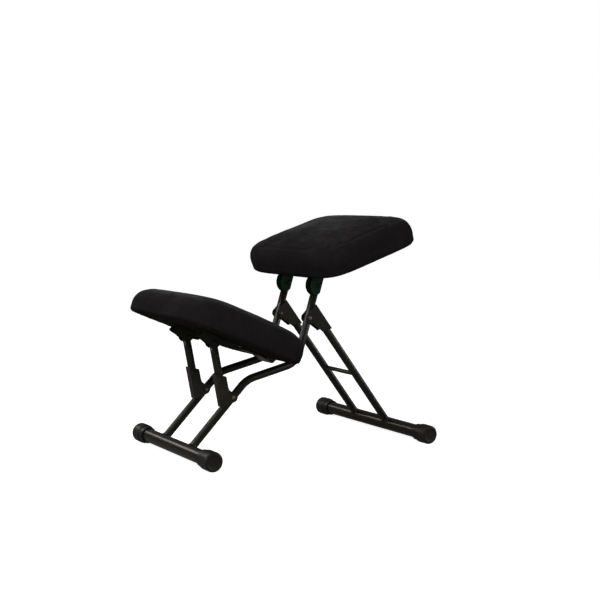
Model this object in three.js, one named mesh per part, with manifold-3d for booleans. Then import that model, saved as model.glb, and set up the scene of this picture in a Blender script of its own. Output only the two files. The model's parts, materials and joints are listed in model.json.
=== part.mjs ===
// Folding kneeling chair: two Z-bent main tubes on a front crossbar, a hinged rear leg frame,
// a hinged knee post frame, and a seat pad and a knee pad hinged on the tops of the posts.
// Millimetres. +Z up, +Y towards the back, X across. The origin is on the floor, under the middle
// of the bounding box, on the middle plane. The sitter faces -Y, so "left" is +X.
// Places below are (y, z) pairs in the chair frame, whose y = 0 is midway between the crossbars.
import * as THREE from 'three';
import { mergeVertices } from 'three/addons/utils/BufferGeometryUtils.js';
import Module from 'manifold-3d';

const wasm = await Module();
wasm.setup();

// ---------------------------------------------------------------- driving dimensions
const TRACK = 77.5; // middle plane to each tube plane
const TUBE_R = 11;
const TUBE_WALL = 1.6;
const TUBE_SEGMENTS = 18;
const GAP = 0.3; // clearance where one piece is cut by or lies on another

// Crossbars and their rubber end caps
const BAR_R = 19;
const BAR_WALL = 1.8;
const BAR_SEGMENTS = 28;
const CAP_R = 26.5;
const CAP_LEN = 58;
const CAP_END = 8; // outer face to the bottom of the bore
const COLLAR = 18; // thinner sleeve of the cap that grips the bar
const BAR_Z = 25;
const FRONT_BAR = [-334, BAR_Z];
const REAR_BAR = [334, BAR_Z];
const FRONT_HALF = 221.5; // half length over the caps
const REAR_HALF = 272.5;

const ORIGIN_Y = 13.3; // puts the origin under the middle of the overall box
const ORIGIN_Z = CAP_R - BAR_Z; // stands the caps on the floor

// Main tubes
const LOWER_BEND = [-154.2, 201.3];
const UPPER_BEND = [8.2, 235.4]; // the seat post starts here
const LOWER_BEND_R = 80;
const UPPER_BEND_R = 58;
const POST_LEAN = 17.2; // degrees, seat post leaning back
const POST_STUB = 14; // post above the seat pivot
const BRACE_AT = [2.0, 242.3]; // cross brace, at the middle of the upper bend
const BRACE_R = 7;
const BRACE_WALL = 1.5;

// Rear leg frame
const REAR_PIVOT = [45.1, 359.1];
const LEG_LEAN = 37.3; // degrees from vertical, foot to the back
const LEG_OFFSET = 27.2; // leg axis behind the pivot
const LEG_TOP = -4; // leg end, along the leg from the pivot
const RUNG_ALONG = 201.3; // rung above the rear crossbar, along the leg
const RUNG_R = 6.2;

// Knee post frame
const KNEE_PIVOT = [-203.7, 159.3];
const KNEE_LEAN = 11; // degrees, knee post leaning forward
const KNEE_OFFSET = -24.1; // knee post axis in front of the pivot
const KNEE_POST_FOOT = 2; // lower post end, along the post from the pivot
const PAD_PIVOT_ALONG = 160.3; // pad pivot above the knee pivot, along the post
const KNEE_STUB = 10; // post above the pad pivot

// Pads. AT is the middle of the underside, HALF the half width and half length. FORM is the
// cushion section: height where the side is fullest, edge height, crown above it, edge roll,
// set-in at the bottom, and plan squareness.
const SEAT_PIVOT_Z = 448;
const SEAT_TILT = 18.1; // degrees, back edge high
const SEAT_AT = [181.5, 525.5];
const SEAT_HALF = [233.7, 171.2];
const SEAT_FORM = { mid: 31, edge: 74, crown: 22, roll: 25.6, tuck: 3.5, power: 5.6 };
const PAD_TILT = -22.8; // degrees, front edge high
const PAD_AT = [-217, 315.6];
const PAD_HALF = [224.1, 187.7];
const PAD_FORM = { mid: 26.7, edge: 75, crown: 19, roll: 42, tuck: 3.2, power: 6.4 };
const BOARD_T = 12; // plywood base boards
const BOARD_INSET = 14.2; // cushion edge to board edge
const POCKET_INSET = 13.5; // cushion edge to the pocket that holds the board
const PLAN_STEPS = 48; // points round a pad

// Brackets and fixings
const SHEET = 2;
const REAR_WEB_T = 1.8;
const SLOT_HALF = 11.5; // half the inside width of a bracket
const BRACKET_HALF = SLOT_HALF + SHEET;
const SEAT_FLANGE_T = 4;
const PAD_FLANGE_T = 2.6;
const BOLT_R = 3;
const BOLT_SEGMENTS = 14;
const CUTTER_HALF = 40; // half length of the rods that cut holes and copes
const SCREW_HOLE_R = 2.2;
const SCREW_HOLE_LEN = 40;

const SIDES = [['left', 1], ['right', -1]];

const rad = (degrees) => (degrees * Math.PI) / 180;
const sinDeg = (degrees) => Math.sin(rad(degrees));
const cosDeg = (degrees) => Math.cos(rad(degrees));
const tanDeg = (degrees) => Math.tan(rad(degrees));
const vec = (x, y, z) => new THREE.Vector3(x, y, z);

// ---------------------------------------------------------------- materials
const finish = (settings) => new THREE.MeshStandardMaterial(settings);
const paint = () => finish({ color: 0x1b1714, roughness: 0.38, metalness: 0.35 });
const rubber = () => finish({ color: 0x171614, roughness: 0.62, metalness: 0 });
const fabric = () => finish({ color: 0x161416, roughness: 0.95, metalness: 0 });
const plastic = () => finish({ color: 0x0b120d, roughness: 0.5, metalness: 0 });
const zinc = () => finish({ color: 0x8d8a84, roughness: 0.35, metalness: 0.9 });
const plywood = () => finish({ color: 0x2b2a22, roughness: 0.8, metalness: 0 });

// ---------------------------------------------------------------- solids and meshes
// Closed solid from a geometry, turned inside out if its faces point inwards
function toSolid(source) {
  let geometry = source.clone();
  for (const name of Object.keys(geometry.attributes)) {
    if (name !== 'position') geometry.deleteAttribute(name);
  }
  geometry = mergeVertices(geometry, 1e-3);
  const vertProperties = new Float32Array(geometry.attributes.position.array);
  const index = geometry.index.array;
  const build = (flip) => {
    const corners = [];
    for (let i = 0; i < index.length; i += 3) {
      const [a, b, c] = index.slice(i, i + 3);
      if (a === b || b === c || c === a) continue;
      corners.push(a, flip ? c : b, flip ? b : c);
    }
    const triVerts = new Uint32Array(corners);
    return new wasm.Manifold(new wasm.Mesh({ numProp: 3, vertProperties, triVerts }));
  };
  const solid = build(false);
  return solid.volume() < 0 ? build(true) : solid;
}

function toGeometry(solid) {
  const mesh = solid.getMesh();
  const geometry = new THREE.BufferGeometry();
  const positions = new Float32Array(mesh.vertProperties);
  geometry.setAttribute('position', new THREE.BufferAttribute(positions, 3));
  geometry.setIndex(new THREE.BufferAttribute(new Uint32Array(mesh.triVerts), 1));
  geometry.computeVertexNormals();
  return geometry;
}

const cut = (solid, ...cutters) => cutters.reduce((rest, cutter) => rest.subtract(cutter), solid);

function piece(name, solid, material, parent, x = 0, y = 0, z = 0) {
  const mesh = new THREE.Mesh(toGeometry(solid), material);
  mesh.name = name;
  mesh.position.set(x, y, z);
  parent.add(mesh);
  return mesh;
}

// ---------------------------------------------------------------- tubes
// A curve through given points whose parameter steps land exactly on them
class PolyPath extends THREE.Curve {
  constructor(points) {
    super();
    this.points = points;
  }

  getPoint(t, target = new THREE.Vector3()) {
    const spans = this.points.length - 1;
    const i = Math.min(spans - 1, Math.floor(t * spans + 1e-9));
    return target.lerpVectors(this.points[i], this.points[i + 1], t * spans - i);
  }

  getTangent(t, target = new THREE.Vector3()) {
    const { points } = this;
    const last = points.length - 1;
    const i = Math.min(last, Math.max(0, Math.round(t * last)));
    const direction = (from, to) => new THREE.Vector3().subVectors(to, from).normalize();
    target.set(0, 0, 0);
    if (i > 0) target.add(direction(points[i - 1], points[i]));
    if (i < last) target.add(direction(points[i], points[i + 1]));
    return target.normalize();
  }

  getUtoTmapping(u) {
    return u;
  }
}

// (y, z) corners with a radius at each inner corner, as points in the plane x = 0
function bentLine(corners, radii, steps) {
  const nodes = corners.map(([y, z]) => new THREE.Vector2(y, z));
  const points = [nodes[0]];
  for (let i = 1; i < nodes.length - 1; i++) {
    const corner = nodes[i];
    const radius = radii[i - 1];
    const back = nodes[i - 1].clone().sub(corner).normalize();
    const ahead = nodes[i + 1].clone().sub(corner).normalize();
    const halfAngle = Math.acos(THREE.MathUtils.clamp(back.dot(ahead), -1, 1)) / 2;
    const setback = radius / Math.tan(halfAngle);
    const centre = back.clone().add(ahead).normalize()
      .multiplyScalar(radius / Math.sin(halfAngle)).add(corner);
    const start = corner.clone().addScaledVector(back, setback).sub(centre);
    const end = corner.clone().addScaledVector(ahead, setback).sub(centre);
    let sweep = end.angle() - start.angle();
    if (sweep > Math.PI) sweep -= 2 * Math.PI;
    if (sweep < -Math.PI) sweep += 2 * Math.PI;
    for (let k = 0; k <= steps; k++) {
      const spoke = start.clone().rotateAround(new THREE.Vector2(), (sweep * k) / steps);
      points.push(spoke.add(centre));
    }
  }
  points.push(nodes[nodes.length - 1]);
  return points.map((point) => vec(0, point.x, point.y));
}

// Round tube along points; a wall of 0 makes it solid
function tube(points, radius, wall, segments = TUBE_SEGMENTS) {
  const ring = new THREE.Shape();
  ring.absarc(0, 0, radius, 0, Math.PI * 2, false);
  if (wall) {
    const bore = new THREE.Path();
    bore.absarc(0, 0, radius - wall, 0, Math.PI * 2, true);
    ring.holes.push(bore);
  }
  return toSolid(new THREE.ExtrudeGeometry(ring, {
    steps: points.length - 1,
    extrudePath: new PolyPath(points),
    curveSegments: segments / 2,
    bevelEnabled: false,
  }));
}

const hollowBar = (overCaps) => {
  const half = overCaps - CAP_END - GAP;
  return tube([vec(-half, 0, 0), vec(half, 0, 0)], BAR_R, BAR_WALL, BAR_SEGMENTS);
};
const rodAcross = (y, z, radius, half, segments) => (
  tube([vec(-half, y, z), vec(half, y, z)], radius, 0, segments)
);
const boltHole = (y = 0, z = 0) => rodAcross(y, z, BOLT_R + GAP, CUTTER_HALF, BOLT_SEGMENTS);
const barCope = (y, z) => rodAcross(y, z, BAR_R + GAP, CUTTER_HALF, BAR_SEGMENTS);
// Cutter for a main tube's straight run between two (y, z) points
const tubeCutter = (from, to) => tube([vec(0, ...from), vec(0, ...to)], TUBE_R + GAP, 0, 28);
// Trims a cross member to the filled tubes at its two ends
const fitBetween = (member, filled) => (
  cut(member, ...SIDES.map(([, sign]) => filled.translate([sign * TRACK, 0, 0])))
);

// ---------------------------------------------------------------- flat and turned parts
// (y, z) outline, centred on x = 0
function slab(outline, half) {
  const shape = new THREE.Shape(outline.map(([y, z]) => new THREE.Vector2(y, z)));
  const geometry = new THREE.ExtrudeGeometry(shape, {
    depth: 2 * half, bevelEnabled: false, steps: 1,
  });
  const axes = new THREE.Matrix4().makeBasis(vec(0, 1, 0), vec(0, 0, 1), vec(1, 0, 0));
  geometry.applyMatrix4(axes);
  geometry.translate(-half, 0, 0);
  return toSolid(geometry);
}

// Block that clears the inside of a folded bracket
function slotBlock(front, back, bottom, top) {
  const geometry = new THREE.BoxGeometry(2 * SLOT_HALF, back - front, top - bottom);
  geometry.translate(0, (front + back) / 2, (bottom + top) / 2);
  return toSolid(geometry);
}

const arcPoints = (y, z, radius, from, to, steps) => Array.from({ length: steps + 1 }, (_, k) => {
  const angle = from + ((to - from) * k) / steps;
  return [y + radius * cosDeg(angle), z + radius * sinDeg(angle)];
});

const lathe = (profile, segments, start = 0) => new THREE.LatheGeometry(
  profile.map(([radius, along]) => new THREE.Vector2(radius, along)), segments, start,
);

// [radius, x] profile turned about X, mirrored end for end on the right-hand side.
// By default a facet, not a corner, faces down.
function turnedAcross(profile, segments, sign, start = Math.PI / segments) {
  const geometry = lathe(profile, segments, start);
  geometry.rotateZ(-Math.PI / 2);
  if (sign < 0) geometry.rotateZ(Math.PI);
  return toSolid(geometry);
}

// [radius, z] profile turned about Z
function turnedUpright(profile, segments) {
  const geometry = lathe(profile, segments);
  geometry.rotateX(Math.PI / 2);
  return toSolid(geometry);
}

// ---------------------------------------------------------------- repeated hardware
// Button head outwards, shank, and a thread end under the nut
function pivotBolt(sign) {
  const face = BRACKET_HALF + GAP;
  return turnedAcross([
    [0, face + 3.6], [2.6, face + 3.4], [4.6, face + 2.3], [5.6, face + 0.8], [5.6, face],
    [BOLT_R, face], [BOLT_R, -face - 6.4], [BOLT_R - 0.7, -face - 7.2], [0, -face - 7.2],
  ], BOLT_SEGMENTS, sign);
}

function lockNut(sign) {
  const face = -BRACKET_HALF - GAP;
  const profile = [[0, face], [5.6, face], [5.6, face - 4.2], [4.6, face - 6], [0, face - 6]];
  return cut(turnedAcross(profile, 6, sign, 0), boltHole());
}

function addPivot(name, side, sign, parent, at) {
  piece(`${name}_bolt_${side}`, pivotBolt(sign), zinc(), parent, sign * TRACK, ...at);
  piece(`${name}_nut_${side}`, lockNut(sign), zinc(), parent, sign * TRACK, ...at);
}

// Domed plug in the open end of a tube whose axis is local +Z, end at z = 0
function tubePlug() {
  const stemR = TUBE_R - TUBE_WALL - GAP;
  const headR = TUBE_R - 0.4;
  return turnedUpright([
    [0, -6.2], [stemR - 0.8, -6.2], [stemR, -5.2], [stemR, GAP],
    [headR, GAP], [headR, 1.2], [headR - 2, 2.4], [0, 3],
  ], 18);
}

// Crossbar end cap: open sleeve, rounded outer edge, dished end face at x = 0.
// The body points towards the middle of the chair.
function endCap(sign) {
  const segments = 28;
  const cornerR = CAP_R / Math.cos(Math.PI / segments); // so that the facets lie at CAP_R
  const boreR = BAR_R + 0.45;
  const shoulder = -CAP_LEN + COLLAR;
  return turnedAcross([
    [0, -2.2], [16, -2.2], [18, -0.2], [cornerR - 6, 0], [cornerR - 2.6, -1.2],
    [cornerR - 0.7, -3.8], [cornerR, -7.5], [cornerR, shoulder + 2.5], [24, shoulder],
    [23.2, -CAP_LEN], [boreR, -CAP_LEN], [boreR, -CAP_END], [0, -CAP_END],
  ], segments, sign);
}

// Pan-head wood screw pointing up, with the underside of its head at z
const woodScrew = (z) => turnedUpright([
  [0, z - 2.6], [2.6, z - 2.4], [4, z - 1], [4, z], [1.8, z], [1.8, z + 9], [0, z + 11.5],
], 12);

function screwHole(y) {
  const geometry = new THREE.CylinderGeometry(SCREW_HOLE_R, SCREW_HOLE_R, SCREW_HOLE_LEN, 12);
  geometry.rotateX(Math.PI / 2);
  geometry.translate(0, y, 0);
  return toSolid(geometry);
}
// The same hole with its upper end at the top of a pad's board
const boardHole = (x, y) => screwHole(y).translate([x, 0, BOARD_T - SCREW_HOLE_LEN / 2]);

// ---------------------------------------------------------------- cushions and boards
// Point of a superellipse plan at a parameter angle
function planPoint(halfX, halfY, power, angle) {
  const bulge = (t) => (Math.abs(t) < 1e-9 ? 0 : Math.sign(t) * Math.abs(t) ** (2 / power));
  return [halfX * bulge(Math.cos(angle)), halfY * bulge(Math.sin(angle))];
}

// Crowned cushion with its underside on z = 0, made by reshaping a sphere row by row
function cushion([halfX, halfY], { mid, edge, crown, roll, tuck, power }) {
  const rows = []; // plan scale, inset from the full plan, height; from the top down
  for (const scale of [0, 0.3, 0.55, 0.75, 0.9]) {
    rows.push([scale, roll, edge + crown * (1 - scale * scale)]);
  }
  for (let k = 0; k <= 5; k++) {
    const angle = k * 18;
    rows.push([1, roll * (1 - sinDeg(angle)), mid + (edge - mid) * cosDeg(angle)]);
  }
  rows.push([1, tuck * 0.12, mid * 0.7], [1, tuck * 0.45, mid * 0.35]);
  rows.push([1, tuck, 0], [0.5, tuck, 0], [0, tuck, 0]);

  const last = rows.length - 1;
  const geometry = new THREE.SphereGeometry(1, PLAN_STEPS, last);
  const { position } = geometry.attributes;
  for (let i = 0; i < position.count; i++) {
    const ball = vec(position.getX(i), position.getY(i), position.getZ(i));
    const polar = Math.acos(THREE.MathUtils.clamp(ball.y, -1, 1));
    const k = Math.round((polar / Math.PI) * last);
    const [scale, inset, z] = rows[k];
    const angle = Math.atan2(-ball.z, ball.x);
    const [x, y] = k === 0 || k === last
      ? [0, 0]
      : planPoint(scale * (halfX - inset), scale * (halfY - inset), power, angle);
    position.setXYZ(i, x, y, z);
  }
  return toSolid(geometry);
}

// Flat board with a cushion's plan, set in from its edge
function board([halfX, halfY], power, inset, bottom, top) {
  const plan = Array.from({ length: PLAN_STEPS }, (_, k) => {
    const angle = (k / (PLAN_STEPS / 2)) * Math.PI;
    return new THREE.Vector2(...planPoint(halfX - inset, halfY - inset, power, angle));
  });
  const geometry = new THREE.ExtrudeGeometry(new THREE.Shape(plan), {
    depth: top - bottom, bevelEnabled: false,
  });
  geometry.translate(0, 0, bottom);
  return toSolid(geometry);
}

function addCushion(name, group, half, form) {
  const pocket = board(half, form.power, POCKET_INSET, -1, BOARD_T + GAP);
  piece(`${name}_cushion`, cut(cushion(half, form), pocket), fabric(), group);
}

// Base board with the holes for both brackets' screws
function drilledBoard(half, form, screws) {
  const holes = SIDES.flatMap(([, sign]) => screws.map((y) => boardHole(sign * TRACK, y)));
  return cut(board(half, form.power, BOARD_INSET, 0, BOARD_T), ...holes);
}

// Both brackets of a pad, each with a front and a rear screw up through its flange
function addPadBrackets({ bracketName, screwName, group, solid, screws, flange }) {
  const bracket = cut(solid, ...screws.map(screwHole));
  for (const [side, sign] of SIDES) {
    piece(`${bracketName}_${side}`, bracket, plastic(), group, sign * TRACK);
    screws.forEach((y, i) => {
      const name = `${screwName}_${side}_${i ? 'rear' : 'front'}`;
      piece(name, woodScrew(-flange - GAP), zinc(), group, sign * TRACK, y);
    });
  }
}

// ---------------------------------------------------------------- frames
const chair = new THREE.Group();
chair.position.set(0, ORIGIN_Y, ORIGIN_Z);

// Group turned about X, and the map from chair (y, z) to its own (y, z)
function tiltedFrame(at, tilt) {
  const group = new THREE.Group();
  group.position.set(0, ...at);
  group.rotation.x = rad(tilt);
  chair.add(group);
  const toLocal = ([y, z]) => {
    const dy = y - at[0];
    const dz = z - at[1];
    return [dy * cosDeg(tilt) + dz * sinDeg(tilt), -dy * sinDeg(tilt) + dz * cosDeg(tilt)];
  };
  return { group, toLocal };
}

// Point given by its distance behind and along an axis that leans back
const offAxis = ([y, z], lean, behind, along) => [
  y + behind * cosDeg(lean) + along * sinDeg(lean),
  z - behind * sinDeg(lean) + along * cosDeg(lean),
];
const postAt = (z) => [UPPER_BEND[0] + (z - UPPER_BEND[1]) * tanDeg(POST_LEAN), z];

const SEAT_PIVOT = postAt(SEAT_PIVOT_Z);
const POST_TOP = offAxis(SEAT_PIVOT, POST_LEAN, 0, POST_STUB);
const PAD_PIVOT = offAxis(KNEE_PIVOT, -KNEE_LEAN, KNEE_OFFSET, PAD_PIVOT_ALONG);

// ---------------------------------------------------------------- main frame
piece('front_crossbar', hollowBar(FRONT_HALF), paint(), chair, 0, ...FRONT_BAR);
for (const [side, sign] of SIDES) {
  piece(`front_cap_${side}`, endCap(sign), rubber(), chair, sign * FRONT_HALF, ...FRONT_BAR);
}

// Main tubes: coped on the front crossbar, two bends, up to just above the seat pivot
const mainLine = bentLine(
  [FRONT_BAR, LOWER_BEND, UPPER_BEND, POST_TOP], [LOWER_BEND_R, UPPER_BEND_R], 7,
);
const mainTube = cut(
  tube(mainLine, TUBE_R, TUBE_WALL),
  barCope(...FRONT_BAR),
  boltHole(...REAR_PIVOT),
  boltHole(...KNEE_PIVOT),
  boltHole(...SEAT_PIVOT),
);
for (const [side, sign] of SIDES) {
  piece(`main_tube_${side}`, mainTube, paint(), chair, sign * TRACK);
}

// Cross brace, coped to both main tubes
const braceTube = tube([vec(-TRACK, ...BRACE_AT), vec(TRACK, ...BRACE_AT)], BRACE_R, BRACE_WALL, 16);
const brace = fitBetween(braceTube, tube(mainLine, TUBE_R + GAP, 0));
piece('frame_cross_brace', brace, paint(), chair);

for (const [side, sign] of SIDES) {
  const name = `seat_post_plug_${side}`;
  const plug = piece(name, tubePlug(), plastic(), chair, sign * TRACK, ...POST_TOP);
  plug.rotation.x = -rad(POST_LEAN);
  addPivot('knee_pivot', side, sign, chair, KNEE_PIVOT);
  addPivot('rear_pivot', side, sign, chair, REAR_PIVOT);
  addPivot('seat_pivot', side, sign, chair, SEAT_PIVOT);
}

// ---------------------------------------------------------------- rear leg frame
// Frame at the pivot: local Z up the leg, local Y behind it
const { group: rearFrame, toLocal: toRear } = tiltedFrame(REAR_PIVOT, LEG_LEAN);
const rearBar = toRear(REAR_BAR);
piece('rear_crossbar', hollowBar(REAR_HALF), paint(), rearFrame, 0, ...rearBar);
for (const [side, sign] of SIDES) {
  const name = `rear_cap_${side}`;
  const cap = piece(name, endCap(sign), rubber(), rearFrame, sign * REAR_HALF, ...rearBar);
  cap.rotation.x = -rad(LEG_LEAN); // facet flat on the floor
}

const legLine = [vec(0, LEG_OFFSET, rearBar[1]), vec(0, LEG_OFFSET, LEG_TOP)];
const leg = cut(tube(legLine, TUBE_R, TUBE_WALL), barCope(...rearBar));
const rungRod = rodAcross(LEG_OFFSET, rearBar[1] + RUNG_ALONG, RUNG_R, TRACK, 14);
const rung = fitBetween(rungRod, tube(legLine, TUBE_R + GAP, 0));
piece('rear_leg_rung', rung, paint(), rearFrame);

// U-channel bracket, open to the front, its back web stopping on the seat post
function rearBracket() {
  const webInner = LEG_OFFSET + TUBE_R + GAP;
  const webOuter = webInner + REAR_WEB_T;
  // side outline, local (y, z)
  const outline = [
    [webOuter, 17.5], ...arcPoints(0, 0, 13, 82, 212, 8),
    [-1.5, -21.5], [7.5, -51], [8.5, -57], [14, -58.5], [webOuter, -73],
  ];
  const postEnds = [-90, 90].map((rise) => toRear(postAt(REAR_PIVOT[1] + rise)));
  return cut(
    slab(outline, BRACKET_HALF),
    slotBlock(-60, webInner, -120, 60),
    tubeCutter(...postEnds),
    boltHole(),
  );
}
const rearBracketSolid = rearBracket();
for (const [side, sign] of SIDES) {
  piece(`rear_leg_${side}`, leg, paint(), rearFrame, sign * TRACK);
  piece(`rear_bracket_${side}`, rearBracketSolid, paint(), rearFrame, sign * TRACK);
}

// ---------------------------------------------------------------- knee post frame
// Frame at the pivot: local Z up the post, local Y behind it
const { group: kneeFrame, toLocal: toKnee } = tiltedFrame(KNEE_PIVOT, KNEE_LEAN);
const padPivotOnPost = [KNEE_OFFSET, PAD_PIVOT_ALONG];
const kneeTop = PAD_PIVOT_ALONG + KNEE_STUB;
const kneeLine = [vec(0, KNEE_OFFSET, KNEE_POST_FOOT), vec(0, KNEE_OFFSET, kneeTop)];
const kneePost = cut(tube(kneeLine, TUBE_R, TUBE_WALL), boltHole(...padPivotOnPost));

// U-channel bracket, open to the back, its front web cut clear of the main tube
function kneeBracket() {
  const webInner = KNEE_OFFSET - TUBE_R - GAP;
  const webOuter = webInner - SHEET;
  // side outline, local (y, z)
  const outline = [
    [webOuter, -18], [webOuter, 73], [webOuter + 3, 73], [-9, 62], [-9, 30],
    [-6.5, 22], [-1.5, 16.5], ...arcPoints(0, 0, 14, 78, -92, 9),
  ];
  const lowerRun = mainLine.slice(0, 2).map((point) => toKnee([point.y, point.z]));
  return cut(
    slab(outline, BRACKET_HALF),
    slotBlock(webInner, 60, -60, 120),
    tubeCutter(...lowerRun),
    boltHole(),
  );
}
const kneeBracketSolid = kneeBracket();
for (const [side, sign] of SIDES) {
  const x = sign * TRACK;
  piece(`knee_post_${side}`, kneePost, paint(), kneeFrame, x);
  piece(`knee_bracket_${side}`, kneeBracketSolid, paint(), kneeFrame, x);
  piece(`knee_post_plug_${side}`, tubePlug(), plastic(), kneeFrame, x, KNEE_OFFSET, kneeTop);
  addPivot('pad_pivot', side, sign, kneeFrame, padPivotOnPost);
}

// ---------------------------------------------------------------- seat
// Pad frames: local Y along the pad, local Z out of its top
const { group: seat, toLocal: toSeat } = tiltedFrame(SEAT_AT, SEAT_TILT);
const [seatPivotY, seatPivotZ] = toSeat(SEAT_PIVOT);
const seatScrews = [seatPivotY + 38, seatPivotY + 92];
addCushion('seat', seat, SEAT_HALF, SEAT_FORM);
piece('seat_board', drilledBoard(SEAT_HALF, SEAT_FORM, seatScrews), plywood(), seat);

// Two cheeks with a rounded nose round the pivot, a top flange under the board and a stop rib
// in front of the post
function seatBracket() {
  const byPost = (behind, along) => toSeat(offAxis(SEAT_PIVOT, POST_LEAN, behind, along));
  const postFront = -TUBE_R - GAP;
  // distance behind the post axis, distance up it from the pivot
  const nose = [
    [-24, 22], [-28.2, 8], [-27.5, -3], [-24, -13], [-17.5, -21],
    [-8, -27], [1, -27], [6, -22], [9.8, -18], [9.8, 26],
  ];
  const cheek = [
    ...nose.map(([behind, along]) => byPost(behind, along)),
    [seatPivotY + 58, -6], [seatPivotY + 108, -6],
    [seatPivotY + 112, -GAP], [seatPivotY - 22, -GAP],
  ];
  const opening = [
    byPost(-60, 8), byPost(postFront, 8), byPost(postFront, 18),
    [seatPivotY - 4, -SEAT_FLANGE_T], [seatPivotY + 150, -SEAT_FLANGE_T],
    [seatPivotY + 150, -90], [seatPivotY - 90, -90],
  ];
  return cut(
    slab(cheek, BRACKET_HALF), slab(opening, SLOT_HALF), boltHole(seatPivotY, seatPivotZ),
  );
}
addPadBrackets({
  bracketName: 'seat_bracket',
  screwName: 'seat_screw',
  group: seat,
  solid: seatBracket(),
  screws: seatScrews,
  flange: SEAT_FLANGE_T,
});

// ---------------------------------------------------------------- knee pad
const { group: kneePad, toLocal: toPad } = tiltedFrame(PAD_AT, PAD_TILT);
const [padPivotY, padPivotZ] = toPad(PAD_PIVOT);
const padScrews = [padPivotY + 34, padPivotY + 84];
addCushion('knee', kneePad, PAD_HALF, PAD_FORM);

// Two cheeks hanging from a top flange, rounded below the pivot
function padBracket() {
  const cheek = [
    [padPivotY - 38, -GAP], [padPivotY - 40, -14], [padPivotY - 32, -20.5],
    ...arcPoints(padPivotY, padPivotZ, 16, 205, 300, 7),
    [padPivotY + 13, padPivotZ - 8], [padPivotY + 14.5, padPivotZ + 4], [padPivotY + 20, -7],
    [padPivotY + 32, -4.6], [padPivotY + 98, -4.6], [padPivotY + 101, -GAP],
  ];
  const opening = [
    [padPivotY - 60, -PAD_FLANGE_T], [padPivotY - 60, -90],
    [padPivotY + 160, -90], [padPivotY + 160, -PAD_FLANGE_T],
  ];
  return cut(
    slab(cheek, BRACKET_HALF), slab(opening, SLOT_HALF), boltHole(padPivotY, padPivotZ),
  );
}
addPadBrackets({
  bracketName: 'knee_pad_bracket',
  screwName: 'knee_screw',
  group: kneePad,
  solid: padBracket(),
  screws: padScrews,
  flange: PAD_FLANGE_T,
});

// Bent strip under the back edge whose lip lies on the cross brace
const REST_HALF_T = 1.5;
const REST_HALF_WIDTH = 27.5;
const REST_DROP = 2.2; // strip's middle line below the pad's underside, measured upright
const REST_SCREW_Y = -98; // chair frame
const REST_SCREW_X = 15;
const REST_SCREW_DROP = 3.6; // screw seat below the board, before clearance
const undersideAt = (y, drop = 0) => [y, PAD_AT[1] + (y - PAD_AT[0]) * tanDeg(PAD_TILT) - drop];

function padRest() {
  const lipY = BRACE_AT[0];
  const lipZ = BRACE_AT[1] + BRACE_R + GAP + 1.6;
  const corners = [
    undersideAt(-118, REST_DROP), undersideAt(-74, REST_DROP),
    [-41, 231], [lipY - 14, lipZ], [lipY - 2, lipZ],
  ];
  const line = bentLine(corners, [8, 5, 5], 3).map((point) => toPad([point.y, point.z]));
  const offset = (distance) => line.map(([y, z], i) => {
    const before = line[Math.max(0, i - 1)];
    const after = line[Math.min(line.length - 1, i + 1)];
    const along = new THREE.Vector2(after[0] - before[0], after[1] - before[1]).normalize();
    return [y - along.y * distance, z + along.x * distance];
  });
  return slab([...offset(REST_HALF_T), ...offset(-REST_HALF_T).reverse()], REST_HALF_WIDTH);
}
const [restScrewY] = toPad(undersideAt(REST_SCREW_Y));
const restHoles = SIDES.map(([, sign]) => boardHole(sign * REST_SCREW_X, restScrewY));
for (const [side, sign] of SIDES) {
  const screw = woodScrew(-REST_SCREW_DROP - GAP);
  piece(`rest_screw_${side}`, screw, zinc(), kneePad, sign * REST_SCREW_X, restScrewY);
}
piece('knee_pad_rest', cut(padRest(), ...restHoles), paint(), kneePad);
const kneeBoard = cut(drilledBoard(PAD_HALF, PAD_FORM, padScrews), ...restHoles);
piece('knee_board', kneeBoard, plywood(), kneePad);

export default chair;
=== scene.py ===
# Folding kneeling chair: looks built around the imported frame. Lengths in the design are millimetres, turned to metres by MM.
import json
import math
import bpy
import bmesh
import numpy as np
from mathutils import Matrix, Vector, noise


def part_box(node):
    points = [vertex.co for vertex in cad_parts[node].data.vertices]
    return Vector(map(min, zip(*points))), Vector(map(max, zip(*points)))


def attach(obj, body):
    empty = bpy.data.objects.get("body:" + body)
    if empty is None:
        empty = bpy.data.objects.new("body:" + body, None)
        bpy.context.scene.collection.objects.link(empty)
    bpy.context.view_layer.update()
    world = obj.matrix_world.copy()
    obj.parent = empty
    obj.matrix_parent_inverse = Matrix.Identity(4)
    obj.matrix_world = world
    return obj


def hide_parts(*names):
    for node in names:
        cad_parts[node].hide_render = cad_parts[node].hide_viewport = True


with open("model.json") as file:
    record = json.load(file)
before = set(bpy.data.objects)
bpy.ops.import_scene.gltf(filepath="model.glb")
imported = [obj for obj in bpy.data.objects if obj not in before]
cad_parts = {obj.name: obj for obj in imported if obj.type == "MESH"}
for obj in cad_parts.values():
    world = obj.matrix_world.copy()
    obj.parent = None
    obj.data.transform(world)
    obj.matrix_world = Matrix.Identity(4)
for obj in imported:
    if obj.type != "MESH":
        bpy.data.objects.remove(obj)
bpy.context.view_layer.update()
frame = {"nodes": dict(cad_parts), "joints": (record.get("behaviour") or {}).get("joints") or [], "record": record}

MM = 0.001
JOINT = {j["name"]: Vector(j["pos_m"]) for j in frame["joints"]}
SIDES = (("left", 1), ("right", -1))
scene = bpy.context.scene


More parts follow.
